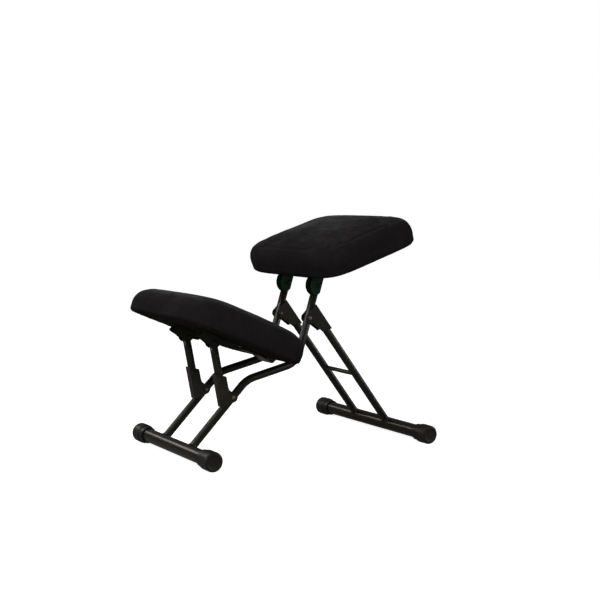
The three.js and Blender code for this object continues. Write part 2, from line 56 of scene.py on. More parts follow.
# ------------------------------------------------------------------ node material helpers
class Nodes:
    def __init__(self, name):
        self.mat = bpy.data.materials.new(name)
        self.mat.use_nodes = True
        self.t = self.mat.node_tree
        self.t.nodes.clear()
        self.out = self.t.nodes.new("ShaderNodeOutputMaterial")
        self.bsdf = self.t.nodes.new("ShaderNodeBsdfPrincipled")
        self.t.links.new(self.bsdf.outputs[0], self.out.inputs[0])
        self.geo = self.t.nodes.new("ShaderNodeNewGeometry")
        self.coord = self.t.nodes.new("ShaderNodeTexCoord").outputs["Object"]

    def link(self, a, b):
        self.t.links.new(a, b)

    def val(self, sock, v):
        if hasattr(v, "is_linked") or hasattr(v, "links"):
            self.link(v, sock)
        else:
            sock.default_value = v

    def set(self, **kw):
        names = dict(color="Base Color", rough="Roughness", metal="Metallic", spec="Specular IOR Level", coat="Coat Weight",
                     coat_rough="Coat Roughness", sheen="Sheen Weight", sheen_rough="Sheen Roughness", sheen_tint="Sheen Tint",
                     normal="Normal", aniso="Anisotropic", ior="IOR")
        for k, v in kw.items():
            self.val(self.bsdf.inputs[names[k]], v)

    def noise(self, scale, detail=3, rough=0.55, vec=None, distortion=0.0):
        n = self.t.nodes.new("ShaderNodeTexNoise")
        n.inputs["Scale"].default_value = scale
        n.inputs["Detail"].default_value = detail
        n.inputs["Roughness"].default_value = rough
        n.inputs["Distortion"].default_value = distortion
        self.link(vec or self.coord, n.inputs["Vector"])
        return n.outputs["Fac"]

    def voronoi(self, scale, vec=None, feature="F1"):
        n = self.t.nodes.new("ShaderNodeTexVoronoi")
        n.feature = feature
        n.inputs["Scale"].default_value = scale
        self.link(vec or self.coord, n.inputs["Vector"])
        return n.outputs["Distance"]

    def wave(self, scale, vec=None, direction="X", distortion=0.0, detail=2, profile="SIN"):
        n = self.t.nodes.new("ShaderNodeTexWave")
        n.bands_direction = direction
        n.wave_profile = profile
        n.inputs["Scale"].default_value = scale
        n.inputs["Distortion"].default_value = distortion
        n.inputs["Detail"].default_value = detail
        self.link(vec or self.coord, n.inputs["Vector"])
        return n.outputs["Fac"]

    def scaled(self, sx, sy, sz, rot=(0, 0, 0), vec=None):
        n = self.t.nodes.new("ShaderNodeMapping")
        n.inputs["Scale"].default_value = (sx, sy, sz)
        n.inputs["Rotation"].default_value = rot
        self.link(vec or self.coord, n.inputs["Vector"])
        return n.outputs[0]

    def math(self, op, a, b=None, clamp=False):
        n = self.t.nodes.new("ShaderNodeMath")
        n.operation = op
        n.use_clamp = clamp
        self.val(n.inputs[0], a)
        if b is not None:
            self.val(n.inputs[1], b)
        return n.outputs[0]

    def ramp(self, fac, stops):
        n = self.t.nodes.new("ShaderNodeValToRGB")
        e = n.color_ramp.elements
        e[0].position, e[0].color = stops[0][0], (*stops[0][1], 1)
        e[1].position, e[1].color = stops[-1][0], (*stops[-1][1], 1)
        for p, c in stops[1:-1]:
            x = e.new(p)
            x.color = (*c, 1)
        self.link(fac, n.inputs[0])
        return n.outputs[0]

    def range(self, fac, a, b, c, d):
        n = self.t.nodes.new("ShaderNodeMapRange")
        self.link(fac, n.inputs[0])
        for i, v in zip((1, 2, 3, 4), (a, b, c, d)):
            n.inputs[i].default_value = v
        return n.outputs[0]

    def mix(self, fac, a, b, mode="MIX"):
        n = self.t.nodes.new("ShaderNodeMix")
        n.data_type = "RGBA"
        n.blend_type = mode
        self.val(n.inputs[0], fac)
        for sock, v in ((n.inputs[6], a), (n.inputs[7], b)):
            if isinstance(v, tuple):
                sock.default_value = (*v, 1)
            else:
                self.link(v, sock)
        return n.outputs[2]

    def bump(self, height, strength=0.3, distance=0.001, under=None):
        n = self.t.nodes.new("ShaderNodeBump")
        n.inputs["Strength"].default_value = strength
        n.inputs["Distance"].default_value = distance
        self.link(height, n.inputs["Height"])
        if under is not None:
            self.link(under, n.inputs["Normal"])
        return n.outputs[0]

    def edge(self, lo=0.5, hi=0.62):
        """1 on outside corners, from the mesh's own curvature."""
        return self.range(self.geo.outputs["Pointiness"], lo, hi, 0.0, 1.0)


def frame_paint():
    m = Nodes("black_powder_coat")
    patches = m.noise(9, 4)
    dust = m.noise(60, 5, 0.7)
    base = m.ramp(patches, [(0.3, (0.0028, 0.0028, 0.0013)), (0.75, (0.0050, 0.0047, 0.0025))])
    worn = m.math("MULTIPLY", m.edge(0.53, 0.66), m.range(dust, 0.4, 0.75, 0.0, 1.0))
    base = m.mix(m.math("MULTIPLY", worn, 0.45), base, (0.050, 0.044, 0.034))
    peel = m.noise(900, 2, 0.5)
    grain = m.voronoi(2200)
    b = m.bump(peel, 0.10, 0.0005)
    b = m.bump(grain, 0.04, 0.0003, b)
    m.set(color=base, rough=m.range(m.noise(35, 5, 0.65), 0.25, 0.8, 0.24, 0.36), spec=0.40, normal=b, coat=0.10, coat_rough=0.12)
    return m.mat


def cap_rubber():
    m = Nodes("black_rubber")
    scuff = m.noise(38, 6, 0.7, distortion=0.6)
    base = m.ramp(scuff, [(0.35, (0.0042, 0.0039, 0.0029)), (0.8, (0.0088, 0.0081, 0.0062))])
    low = m.t.nodes.new("ShaderNodeSeparateXYZ")
    m.link(m.coord, low.inputs[0])
    floor_wear = m.math("MULTIPLY", m.range(low.outputs[2], 0.012, 0.0, 0.0, 1.0), m.range(m.noise(120, 4), 0.4, 0.7, 0.0, 1.0))
    base = m.mix(m.math("MULTIPLY", floor_wear, 0.5), base, (0.045, 0.043, 0.040))
    b = m.bump(m.noise(1400, 3, 0.6), 0.22, 0.0005)
    b = m.bump(m.noise(160, 3), 0.10, 0.0009, b)
    m.set(color=base, rough=m.range(scuff, 0.3, 0.8, 0.34, 0.52), spec=0.38, normal=b)
    return m.mat


def pad_fabric():
    m = Nodes("black_velour")
    # pile laid in slightly different directions: broad soft patches on top, then short fibres
    brushed = m.noise(8.5, 5, 0.64, distortion=0.6)
    dabs = m.noise(1, 4, 0.6, vec=m.scaled(34, 70, 50, rot=(0, 0, 0.5)))
    fibres = m.noise(1, 3, 0.7, vec=m.scaled(1500, 1100, 1500))
    ribs_a = m.wave(430, direction="X", distortion=1.6, detail=2)
    ribs_b = m.wave(430, direction="Y", distortion=1.6, detail=2)
    weave = m.math("MULTIPLY", ribs_a, ribs_b)
    tone = m.math("ADD", m.math("MULTIPLY", brushed, 0.6), m.math("MULTIPLY", dabs, 0.4))
    face = m.t.nodes.new("ShaderNodeSeparateXYZ")
    m.link(m.geo.outputs["Normal"], face.inputs[0])
    top = m.range(face.outputs[2], 0.55, 0.95, 0.12, 1.0)
    base = m.ramp(tone, [(0.36, (0.0054, 0.0046, 0.0049)), (0.52, (0.0070, 0.0061, 0.0064)), (0.68, (0.0100, 0.0090, 0.0094))])
    base = m.mix(m.range(fibres, 0.42, 0.78, 0.0, 0.30), base, (0.0125, 0.0115, 0.0118))
    lint = m.math("GREATER_THAN", m.noise(520, 2, 0.4), 0.79)
    base = m.mix(m.math("MULTIPLY", lint, 0.14), base, (0.055, 0.052, 0.050))
    b = m.bump(brushed, 0.30, 0.0014)
    b = m.bump(dabs, 0.14, 0.0006, b)
    b = m.bump(weave, 0.16, 0.0004, b)
    b = m.bump(fibres, 0.50, 0.0005, b)
    m.set(color=base, rough=m.range(tone, 0.3, 0.7, 0.98, 0.88), spec=0.07, normal=b,
          sheen=m.math("MULTIPLY", top, m.range(tone, 0.38, 0.66, 0.02, 0.10)), sheen_rough=0.36, sheen_tint=(0.92, 0.90, 0.93, 1))
    return m.mat


def hem_fabric():
    m = Nodes("black_cover_hem")
    a, b_ = m.wave(520, direction="X", distortion=0.6), m.wave(520, direction="Y", distortion=0.6)
    weave = m.math("MAXIMUM", a, b_)
    base = m.ramp(weave, [(0.2, (0.0042, 0.0040, 0.0034)), (0.9, (0.0105, 0.0100, 0.0088))])
    b = m.bump(weave, 0.5, 0.0004)
    m.set(color=base, rough=0.95, spec=0.04, normal=m.bump(m.noise(90, 4), 0.3, 0.001, b))
    return m.mat


def moulded_plastic():
    m = Nodes("greenish_black_plastic")
    flow = m.noise(14, 4, 0.6, distortion=0.8)
    base = m.ramp(flow, [(0.3, (0.0008, 0.0080, 0.0026)), (0.75, (0.0017, 0.0130, 0.0048))])
    base = m.mix(m.math("MULTIPLY", m.edge(0.53, 0.68), 0.4), base, (0.012, 0.030, 0.018))
    spark = m.voronoi(1300)
    b = m.bump(spark, 0.20, 0.0004)
    b = m.bump(m.noise(240, 3), 0.08, 0.0006, b)
    m.set(color=base, rough=m.range(m.noise(50, 4), 0.3, 0.75, 0.42, 0.58), spec=0.12, normal=b)
    return m.mat


def olive_plastic():
    m = Nodes("olive_black_plastic")
    flow = m.noise(14, 4, 0.6, distortion=0.8)
    base = m.ramp(flow, [(0.3, (0.0066, 0.0072, 0.0044)), (0.75, (0.0110, 0.0116, 0.0076))])
    b = m.bump(m.voronoi(1300), 0.20, 0.0004)
    b = m.bump(m.noise(240, 3), 0.08, 0.0006, b)
    m.set(color=base, rough=m.range(m.noise(50, 4), 0.3, 0.75, 0.46, 0.62), spec=0.14, normal=b)
    return m.mat


def zinc_steel():
    m = Nodes("zinc_plated_steel")
    spots = m.noise(420, 5, 0.65)
    base = m.ramp(spots, [(0.3, (0.22, 0.21, 0.185)), (0.7, (0.42, 0.40, 0.36))])
    turned = m.noise(1, 2, 0.5, vec=m.scaled(200, 5200, 5200))
    b = m.bump(turned, 0.12, 0.0002)
    m.set(color=base, metal=0.95, rough=m.range(spots, 0.3, 0.7, 0.28, 0.48), normal=b)
    return m.mat


def black_steel():
    m = Nodes("black_oxide_steel")
    spots = m.noise(380, 4, 0.6)
    m.set(color=m.ramp(spots, [(0.3, (0.020, 0.019, 0.018)), (0.7, (0.042, 0.040, 0.037))]), metal=0.85, rough=m.range(spots, 0.3, 0.7, 0.30, 0.46),
          normal=m.bump(m.noise(1, 2, 0.5, vec=m.scaled(200, 5200, 5200)), 0.10, 0.0002))
    return m.mat


def base_board():
    m = Nodes("stained_plywood")
    # grain runs across the chair; edge plies show as thin layers
    grain = m.noise(1, 6, 0.65, vec=m.scaled(3.5, 95, 95), distortion=0.7)
    figure = m.wave(2.2, vec=m.scaled(0.35, 9, 9), direction="Y", distortion=7, detail=3)
    pores = m.noise(1, 2, 0.5, vec=m.scaled(70, 1900, 1900))
    tone = m.math("ADD", m.math("MULTIPLY", grain, 0.6), m.math("MULTIPLY", figure, 0.4))
    base = m.ramp(tone, [(0.25, (0.0050, 0.0050, 0.0031)), (0.55, (0.0082, 0.0080, 0.0050)), (0.85, (0.0140, 0.0134, 0.0086))])
    base = m.mix(m.range(pores, 0.58, 0.72, 0.0, 0.6), base, (0.006, 0.0055, 0.004))
    b = m.bump(tone, 0.25, 0.0008)
    b = m.bump(pores, 0.35, 0.0004, b)
    m.set(color=base, rough=m.range(grain, 0.3, 0.7, 0.80, 0.92), spec=0.05, normal=b)
    return m.mat


def staple_wire():
    m = Nodes("staple_wire")
    m.set(color=m.ramp(m.noise(700, 3), [(0.3, (0.055, 0.053, 0.048)), (0.7, (0.12, 0.115, 0.105))]), metal=1.0, rough=0.45,
          normal=m.bump(m.noise(2500, 2), 0.2, 0.0001))
    return m.mat


MAT = {"frame_paint": frame_paint(), "cap_rubber": cap_rubber(), "pad_fabric": pad_fabric(), "moulded_plastic": moulded_plastic(),
       "fastener_steel": zinc_steel(), "base_board": base_board()}
HEM, WIRE, BLACK, OLIVE = hem_fabric(), staple_wire(), black_steel(), olive_plastic()


# ------------------------------------------------------------------ mesh helpers (millimetres in, metres out)
def make(name, verts, faces, mat, at=None, smooth=True):
    me = bpy.data.meshes.new(name)
    me.from_pydata([tuple(c * MM for c in v) for v in verts], [], faces)
    me.update()
    bm = bmesh.new()
    bm.from_mesh(me)
    bmesh.ops.recalc_face_normals(bm, faces=bm.faces)
    bm.to_mesh(me)
    bm.free()
    me.polygons.foreach_set("use_smooth", [smooth] * len(me.polygons))
    o = bpy.data.objects.new(name, me)
    scene.collection.objects.link(o)
    me.materials.append(mat)
    if at is not None:
        me.transform(at)
    return o


def sharp_by_angle(o, degrees=32):
    me = o.data
    bm = bmesh.new()
    bm.from_mesh(me)
    for e in bm.edges:
        e.smooth = not (len(e.link_faces) == 2 and e.calc_face_angle(0) > math.radians(degrees))
    bm.to_mesh(me)
    bm.free()
    return o


def rings_mesh(name, rings, mat, close=(True, True), loop=False, at=None):
    n = len(rings[0])
    verts = [p for r in rings for p in r]
    faces = []
    pairs = len(rings) if loop else len(rings) - 1
    for i in range(pairs):
        j = (i + 1) % len(rings)
        for k in range(n):
            faces.append((i * n + k, i * n + (k + 1) % n, j * n + (k + 1) % n, j * n + k))
    if not loop:
        for end, base in ((close[0], 0), (close[1], (len(rings) - 1) * n)):
            if end:
                c = len(verts)
                verts.append(tuple(sum(p[a] for p in verts[base:base + n]) / n for a in range(3)))
                for k in range(n):
                    faces.append((c, base + k, base + (k + 1) % n))
    return make(name, verts, faces, mat, at)


def lathe_x(name, profile, mat, seg=96, at=None, flip=False, wobble=0.0):
    """profile of (radius, x); a radius of 0 closes the end at one point."""
    s = -1 if flip else 1
    rings, tips = [], {}
    prof = [p for p in profile]
    verts, faces, idx = [], [], []
    for i, (r, x) in enumerate(prof):
        if r <= 1e-6:
            idx.append([len(verts)])
            verts.append((s * x, 0, 0))
        else:
            idx.append(list(range(len(verts), len(verts) + seg)))
            for k in range(seg):
                a = 2 * math.pi * k / seg
                rr = r + (wobble * noise.noise(Vector((math.cos(a) * 1.5, math.sin(a) * 1.5, x * 0.05))) if wobble else 0)
                verts.append((s * x, rr * math.cos(a), rr * math.sin(a)))
    for i in range(len(prof) - 1):
        a, b = idx[i], idx[i + 1]
        for k in range(seg):
            k2 = (k + 1) % seg
            if len(a) == 1 and len(b) == 1:
                continue
            if len(a) == 1:
                faces.append((a[0], b[k], b[k2]))
            elif len(b) == 1:
                faces.append((a[k], a[k2], b[0]))
            else:
                faces.append((a[k], a[k2], b[k2], b[k]))
    return make(name, verts, faces, mat, at)


def fillet(points, radii, steps=8):
    """2D polyline or closed outline with each corner rounded. radii: one number or one per corner."""
    n = len(points)
    out = []
    for i in range(n):
        r = radii if isinstance(radii, (int, float)) else radii[i]
        p, a, b = Vector(points[i]), Vector(points[i - 1]), Vector(points[(i + 1) % n])
        u, v = (a - p), (b - p)
        lu, lv = u.length, v.length
        if r <= 0 or lu < 1e-6 or lv < 1e-6:
            out.append(tuple(p))
            continue
        u.normalize()
        v.normalize()
        ang = math.acos(max(-1, min(1, u.dot(v))))
        if ang > math.pi - 0.03 or ang < 0.02:
            out.append(tuple(p))
            continue
        t = min(r / math.tan(ang / 2), lu * 0.49, lv * 0.49)
        rr = t * math.tan(ang / 2)
        c = p + (u + v).normalized() * (rr / math.sin(ang / 2))
        s0, s1 = p + u * t - c, p + v * t - c
        a0, a1 = math.atan2(s0.y, s0.x), math.atan2(s1.y, s1.x)
        d = a1 - a0
        while d > math.pi:
            d -= 2 * math.pi
        while d < -math.pi:
            d += 2 * math.pi
        for k in range(steps + 1):
            a_ = a0 + d * k / steps
            out.append((c.x + rr * math.cos(a_), c.y + rr * math.sin(a_)))
    return out


def arc(cy, cz, r, a0, a1, n):
    return [(cy + r * math.cos(math.radians(a0 + (a1 - a0) * k / n)), cz + r * math.sin(math.radians(a0 + (a1 - a0) * k / n))) for k in range(n + 1)]


def prism(outline, x0, x1):
    """bmesh solid from a (y, z) outline, millimetres, between two x planes."""
    bm = bmesh.new()
    a = [bm.verts.new((x0, y, z)) for y, z in outline]
    b = [bm.verts.new((x1, y, z)) for y, z in outline]
    n = len(outline)
    bm.faces.new(a)
    bm.faces.new(b)
    for k in range(n):
        bm.faces.new((a[k], a[(k + 1) % n], b[(k + 1) % n], b[k]))
    bmesh.ops.recalc_face_normals(bm, faces=bm.faces)
    return bm


def cylinder_x(y, z, r, half, seg=64):
    return prism([(y + r * math.cos(2 * math.pi * k / seg), z + r * math.sin(2 * math.pi * k / seg)) for k in range(seg)], -half, half)


def cylinder_between(a, b, r, seg=64):
    a, b = Vector(a), Vector(b)
    d = (b - a).normalized()
    u = Vector((1, 0, 0))
    v = d.cross(u)
    bm = bmesh.new()
    rings = []
    for p in (a, b):
        rings.append([bm.verts.new(p + (u * math.cos(2 * math.pi * k / seg) + v * math.sin(2 * math.pi * k / seg)) * r) for k in range(seg)])
    bm.faces.new(rings[0])
    bm.faces.new(rings[1])
    for k in range(seg):
        bm.faces.new((rings[0][k], rings[0][(k + 1) % seg], rings[1][(k + 1) % seg], rings[1][k]))
    bmesh.ops.recalc_face_normals(bm, faces=bm.faces)
    return bm


def to_object(name, bm, mat):
    bmesh.ops.scale(bm, vec=(MM, MM, MM), verts=bm.verts)
    me = bpy.data.meshes.new(name)
    bm.to_mesh(me)
    bm.free()
    me.materials.append(mat)
    o = bpy.data.objects.new(name, me)
    scene.collection.objects.link(o)
    return o


def apply_all(o):
    bpy.context.view_layer.update()
    me = bpy.data.meshes.new_from_object(o.evaluated_get(bpy.context.evaluated_depsgraph_get()))
    o.modifiers.clear()
    old = o.data
    o.data = me
    bpy.data.meshes.remove(old)
    return o


def carve(o, cutters, bevel=0.6, segments=3, angle=28):
    """Cut with solid bmeshes, then round every remaining sharp edge a little."""
    tools = []
    for k, bm in enumerate(cutters):
        c = to_object(f"cutter_{k}", bm, o.data.materials[0])
        tools.append(c)
        m = o.modifiers.new("cut", "BOOLEAN")
        m.operation = "DIFFERENCE"
        m.solver = "EXACT"
        m.object = c
    apply_all(o)
    for c in tools:
        me = c.data
        bpy.data.objects.remove(c)
        bpy.data.meshes.remove(me)
    bm = bmesh.new()
    bm.from_mesh(o.data)
    bmesh.ops.remove_doubles(bm, verts=bm.verts, dist=2e-6)
    bmesh.ops.dissolve_limit(bm, angle_limit=math.radians(0.5), verts=bm.verts, edges=bm.edges)
    bm.to_mesh(o.data)
    bm.free()
    if bevel:
        m = o.modifiers.new("round", "BEVEL")
        m.width = bevel * MM
        m.segments = segments
        m.limit_method = "ANGLE"
        m.angle_limit = math.radians(angle)
        m.use_clamp_overlap = True
        m.miter_outer = "MITER_ARC"
        apply_all(o)
    o.data.polygons.foreach_set("use_smooth", [True] * len(o.data.polygons))
    sharp_by_angle(o, 40)
    w = o.modifiers.new("normals", "WEIGHTED_NORMAL")
    w.keep_sharp = True
    w.weight = 60
    apply_all(o)
    return o


def place(o, at, body, nodes, x=0.0):
    """Finish a piece: move its mesh into the row frame, let it ride, and hide the imported parts it stands for."""
    m = at.copy() if at is not None else Matrix.Identity(4)
    if x:
        m = Matrix.Translation((x * MM, 0, 0)) @ m
    o.data.transform(m)
    o.data.update()
    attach(o, body)
    if nodes:
        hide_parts(*nodes)
    return o


def twin(o, name):
    c = o.copy()
    c.data = o.data.copy()
    c.name = name
    c.data.name = name
    scene.collection.objects.link(c)
    return c


def frame_at(y, z, lean):
    return Matrix.Translation((0, y * MM, z * MM)) @ Matrix.Rotation(math.radians(lean), 4, "X")


def yz(v):
    return (v[1] / MM, v[2] / MM)


def centre(node):
    a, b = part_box(node)
    return (a + b) / 2


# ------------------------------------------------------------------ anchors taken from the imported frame
TUBE_R, BAR_R, CAP_R = 11.0, 19.0, 26.5
TRACK = centre("main_tube_left").x / MM
FRONT = yz(centre("front_crossbar"))
REAR = yz(centre("rear_crossbar"))
FRONT_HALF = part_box("front_cap_left")[1].x / MM
REAR_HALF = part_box("rear_cap_left")[1].x / MM
PR, PK = yz(JOINT["rear_leg_fold"]), yz(JOINT["knee_frame_fold"])
KP, SP = yz(JOINT["knee_pad_tilt"]), yz(JOINT["seat_tilt"])
POST_LEAN, LEG_LEAN, KNEE_LEAN, SEAT_TILT, PAD_TILT = 17.2, 37.3, 11.0, 18.1, -22.8
MID_Y, LIFT = (FRONT[0] + REAR[0]) / 2, FRONT[1] - 25.0


def direction(lean):  # unit (y, z) of an axis leaning back by this many degrees
    return Vector((math.sin(math.radians(lean)), math.cos(math.radians(lean))))


post_dir = direction(POST_LEAN)
seat_c, pad_c = centre("seat_board"), centre("knee_board")


def under(c, tilt):  # middle of a pad's underside: its 12 mm board is centred 6 mm above
    n = direction(-tilt)
    return (c.y / MM - 6 * n.x, c.z / MM - 6 * n.y)


SEAT_AT, PAD_AT = under(seat_c, SEAT_TILT), under(pad_c, PAD_TILT)
AT_REAR, AT_KNEE = frame_at(*PR, LEG_LEAN), frame_at(*PK, KNEE_LEAN)
AT_SEAT, AT_PAD = frame_at(*SEAT_AT, SEAT_TILT), frame_at(*PAD_AT, PAD_TILT)


def local(point, at, tilt):
    d = Vector((point[0] - at[0], point[1] - at[1]))
    c, s = math.cos(math.radians(tilt)), math.sin(math.radians(tilt))
    return (d.x * c + d.y * s, -d.x * s + d.y * c)


# ------------------------------------------------------------------ tubes
def tube_rings(points, r, seg=56):
    pts = [Vector((0, *p)) for p in points]
    rings = []
    for i, p in enumerate(pts):
        d = Vector((0, 0, 0))
        if i:
            d += (p - pts[i - 1]).normalized()
        if i < len(pts) - 1:
            d += (pts[i + 1] - p).normalized()
        d.normalize()
        u = Vector((1, 0, 0))
        v = d.cross(u)
        rings.append([tuple(p + (u * math.cos(2 * math.pi * k / seg) + v * math.sin(2 * math.pi * k / seg)) * r) for k in range(seg)])
    return rings


def weld_rings(start, d, bar, r_bar, r, seg=56, steps=((3.4, -0.25), (2.1, 0.5), (1.1, 1.6), (0.35, 3.2), (0.0, 5.4)), seed=0):
    """Rings around a tube that flare on to a crossbar: (extra radius, height off the bar). start and d are the tube's axis."""
    u, dd = Vector((1, 0, 0)), Vector((0, *d)).normalized()
    v = dd.cross(u)
    s = Vector((0, *start))
    rings = []
    for extra, lift in steps:
        ring = []
        for k in range(seg):
            a = 2 * math.pi * k / seg
            ripple = 0.45 * math.sin(a * 19 + seed) * (1 if 0.2 < extra < 3 else 0.3 if extra >= 3 else 0)
            off = (u * math.cos(a) + v * math.sin(a)) * (r + extra + ripple * 0.5)
            base = s + off
            # distance along dd where this line leaves the bar's cylinder (axis along x)
            q = Vector((0, base.y - bar[0], base.z - bar[1]))
            b, c = q.dot(dd), q.length_squared - (r_bar + lift * 0.25) ** 2
            disc = max(0.0, b * b - c)
            t = -b + math.sqrt(disc)
            ring.append(tuple(base + dd * (t + lift)))
        rings.append(ring)
    return rings


def bent(corners, radii, steps=14):
    out = [tuple(corners[0])]
    for i in range(1, len(corners) - 1):
        seg = fillet([corners[i - 1], corners[i], corners[i + 1]], [0, radii[i - 1], 0], steps)
        out += seg[1:-1]
    out.append(tuple(corners[-1]))
    return out


low_dir = Vector((179.8, 176.3)).normalized()
B1 = (FRONT[0] + 179.8, FRONT[1] + 176.3)
B2 = tuple(Vector(SP) - post_dir * ((448 - 235.4) / post_dir.y))
post_end = tuple(Vector(SP) + post_dir * 14)
line = bent([FRONT, B1, B2, post_end], [80, 58])
line_start = Vector(FRONT) + low_dir * (BAR_R + 12)
for side, s in SIDES:
    # leaves the bar with a weld fillet, then runs up through both bends
    rings = weld_rings(FRONT, tuple(low_dir), FRONT, BAR_R, TUBE_R, seed=s) + tube_rings([tuple(line_start)] + line[1:], TUBE_R)
    ring0 = rings[:5]
    o = rings_mesh(f"main_tube_{side}_finish", rings, MAT["frame_paint"], (False, True))
    place(o, None, "main_frame", [f"main_tube_{side}"], s * TRACK)


def crossbar(name, half, at, body, node):
    r = BAR_R
    o = lathe_x(name, [(0, -half), (r - 1.5, -half), (r - 0.4, -half + 0.4), (r, -half + 1.4)] + [(r, -half + 1.4 + (2 * half - 2.8) * k / 24) for k in range(1, 24)]
                + [(r, half - 1.4), (r - 0.4, half - 0.4), (r - 1.5, half), (0, half)], MAT["frame_paint"], 112)
    place(o, Matrix.Translation((0, at[0] * MM, at[1] * MM)), body, [node])


crossbar("front_crossbar_finish", FRONT_HALF - 8.3, FRONT, "main_frame", "front_crossbar")
crossbar("rear_crossbar_finish", REAR_HALF - 8.3, REAR, "rear_frame", "rear_crossbar")


def end_cap(name):
    def rnd(cx, cr, r, a0, a1, n=7):
        return [(cr + r * math.sin(math.radians(a0 + (a1 - a0) * k / n)), cx + r * math.cos(math.radians(a0 + (a1 - a0) * k / n))) for k in range(n + 1)]
    R, big, end = CAP_R, -39.5, -58.0
    prof = [(0, -2.7), (4, -2.65), (9, -2.5), (14.0, -2.2)] + [(16.0, -2.0), (16.8, -1.4), (17.4, -0.6), (18.2, -0.12)]
    prof += [(19.2, 0.0)] + rnd(-6.0, R - 6.0, 6.0, 6, 90, 10)
    prof += [(R, -10), (R + 0.08, -18), (R + 0.12, -25), (R + 0.05, -33)]
    prof += rnd(big + 2.2, R - 2.2, 2.2, 90, 170, 6)
    prof += [(24.1, big - 0.1), (23.75, big - 0.6), (23.6, big - 2), (23.3, end + 3)] + rnd(end + 1.6, 23.3 - 1.6, 1.6, 90, 176, 5)
    prof += [(20.6, end), (19.6, end + 0.3), (19.1, end + 1.2), (19.1, -9), (0, -9)]
    return lathe_x(name, prof, MAT["cap_rubber"], 112)


for where, half, at, body in (("front", FRONT_HALF, FRONT, "main_frame"), ("rear", REAR_HALF, REAR, "rear_frame")):
    for side, s in SIDES:
        o = end_cap(f"{where}_cap_{side}_finish")
        if s < 0:
            o.data.transform(Matrix.Rotation(math.pi, 4, "Z"))
        place(o, Matrix.Translation((0, at[0] * MM, at[1] * MM)), body, [f"{where}_cap_{side}"], s * half)


# rear legs, in the leg frame: foot on the bar axis, top behind the pivot
LEG_OFF = 27.2
rear_bar_l = local(REAR, PR, LEG_LEAN)
for side, s in SIDES:
    rings = weld_rings((LEG_OFF, rear_bar_l[1]), (0, 1), rear_bar_l, BAR_R, TUBE_R, seed=s + 1)
    rings += tube_rings([(LEG_OFF, rear_bar_l[1] + BAR_R + 12), (LEG_OFF, rear_bar_l[1] + 160), (LEG_OFF, -180), (LEG_OFF, -5.2)], TUBE_R)
    rings += tube_rings([(LEG_OFF, -4.4), (LEG_OFF, -4.0)], TUBE_R - 0.6)
    o = rings_mesh(f"rear_leg_{side}_finish", rings, MAT["frame_paint"], (False, True))
    place(o, AT_REAR, "rear_frame", [f"rear_leg_{side}"], s * TRACK)


def rung(name, axis, r, tube_r, body, node, at, mat, seed=0):
    """Cross tube between the two side tubes, flared with weld fillets at both ends; axis is its (y, z)."""
    seg = 40
    half = TRACK
    def ring(side, extra, lift):
        out = []
        for k in range(seg):
            a = 2 * math.pi * k / seg
            ripple = 0.25 * math.sin(a * 11 + seed) * (1 if 0.1 < extra < 2 else 0)
            rr = r + extra + ripple
            y, z = rr * math.cos(a), rr * math.sin(a)
            reach = math.sqrt(max(0.0, tube_r ** 2 - min(y * 1.0, tube_r) ** 2))
            out.append((side * (half - reach - lift), axis[0] + y, axis[1] + z))
        return out
    steps = ((2.2, -0.3), (1.3, 0.5), (0.6, 1.3), (0.15, 2.6), (0, 4))
    rings = [ring(-1, *st) for st in steps] + [[(x, axis[0] + r * math.cos(2 * math.pi * k / seg), axis[1] + r * math.sin(2 * math.pi * k / seg)) for k in range(seg)] for x in (-40, 0, 40)]
    rings += [ring(1, *st) for st in reversed(steps)]
    place(rings_mesh(name, rings, mat, (False, False)), at, body, [node])


# across the legs; its ends meet the legs' sides, so the flare is worked in the leg frame
rung("rear_leg_rung_finish", (LEG_OFF, rear_bar_l[1] + 201.3), 6.2, TUBE_R, "rear_frame", "rear_leg_rung", AT_REAR, MAT["frame_paint"])
brace = (B2[0] - 6.2, B2[1] + 6.9)  # middle of the upper bend
brace_frame = frame_at(*brace, -47.6)
rung("frame_cross_brace_finish", (0, 0), 7.0, TUBE_R, "main_frame", "frame_cross_brace", brace_frame, MAT["frame_paint"], 2)

# knee posts, in the knee frame
KNEE_OFF = -24.1
kp_l = local(KP, PK, KNEE_LEAN)
knee_top = kp_l[1] + 10.0
for side, s in SIDES:
    rings = tube_rings([(KNEE_OFF, 2.2), (KNEE_OFF, 2.6)], TUBE_R - 0.6) + tube_rings([(KNEE_OFF, 3.4), (KNEE_OFF, 60), (KNEE_OFF, 120), (KNEE_OFF, knee_top)], TUBE_R)
    o = rings_mesh(f"knee_post_{side}_finish", rings, MAT["frame_paint"], (True, True))
    place(o, AT_KNEE, "knee_frame", [f"knee_post_{side}"], s * TRACK)


# tube plugs: domed moulded discs with a small centre pip
def plug(name, node, at, body):
    prof = [(0, 3.0), (1.4, 2.9), (1.9, 2.55), (2.6, 2.6), (5, 2.5), (8, 2.1), (9.6, 1.6), (10.5, 0.9), (10.7, 0.4), (10.6, 0.1), (9.0, 0.05), (8.9, -5.8), (0, -5.9)]
    o = lathe_x(name, prof, MAT["moulded_plastic"], 48)
    o.data.transform(Matrix.Rotation(-math.pi / 2, 4, "Y"))
    return o


# ------------------------------------------------------------------ bent sheet brackets
SLOT, HALF = 11.5, 13.5


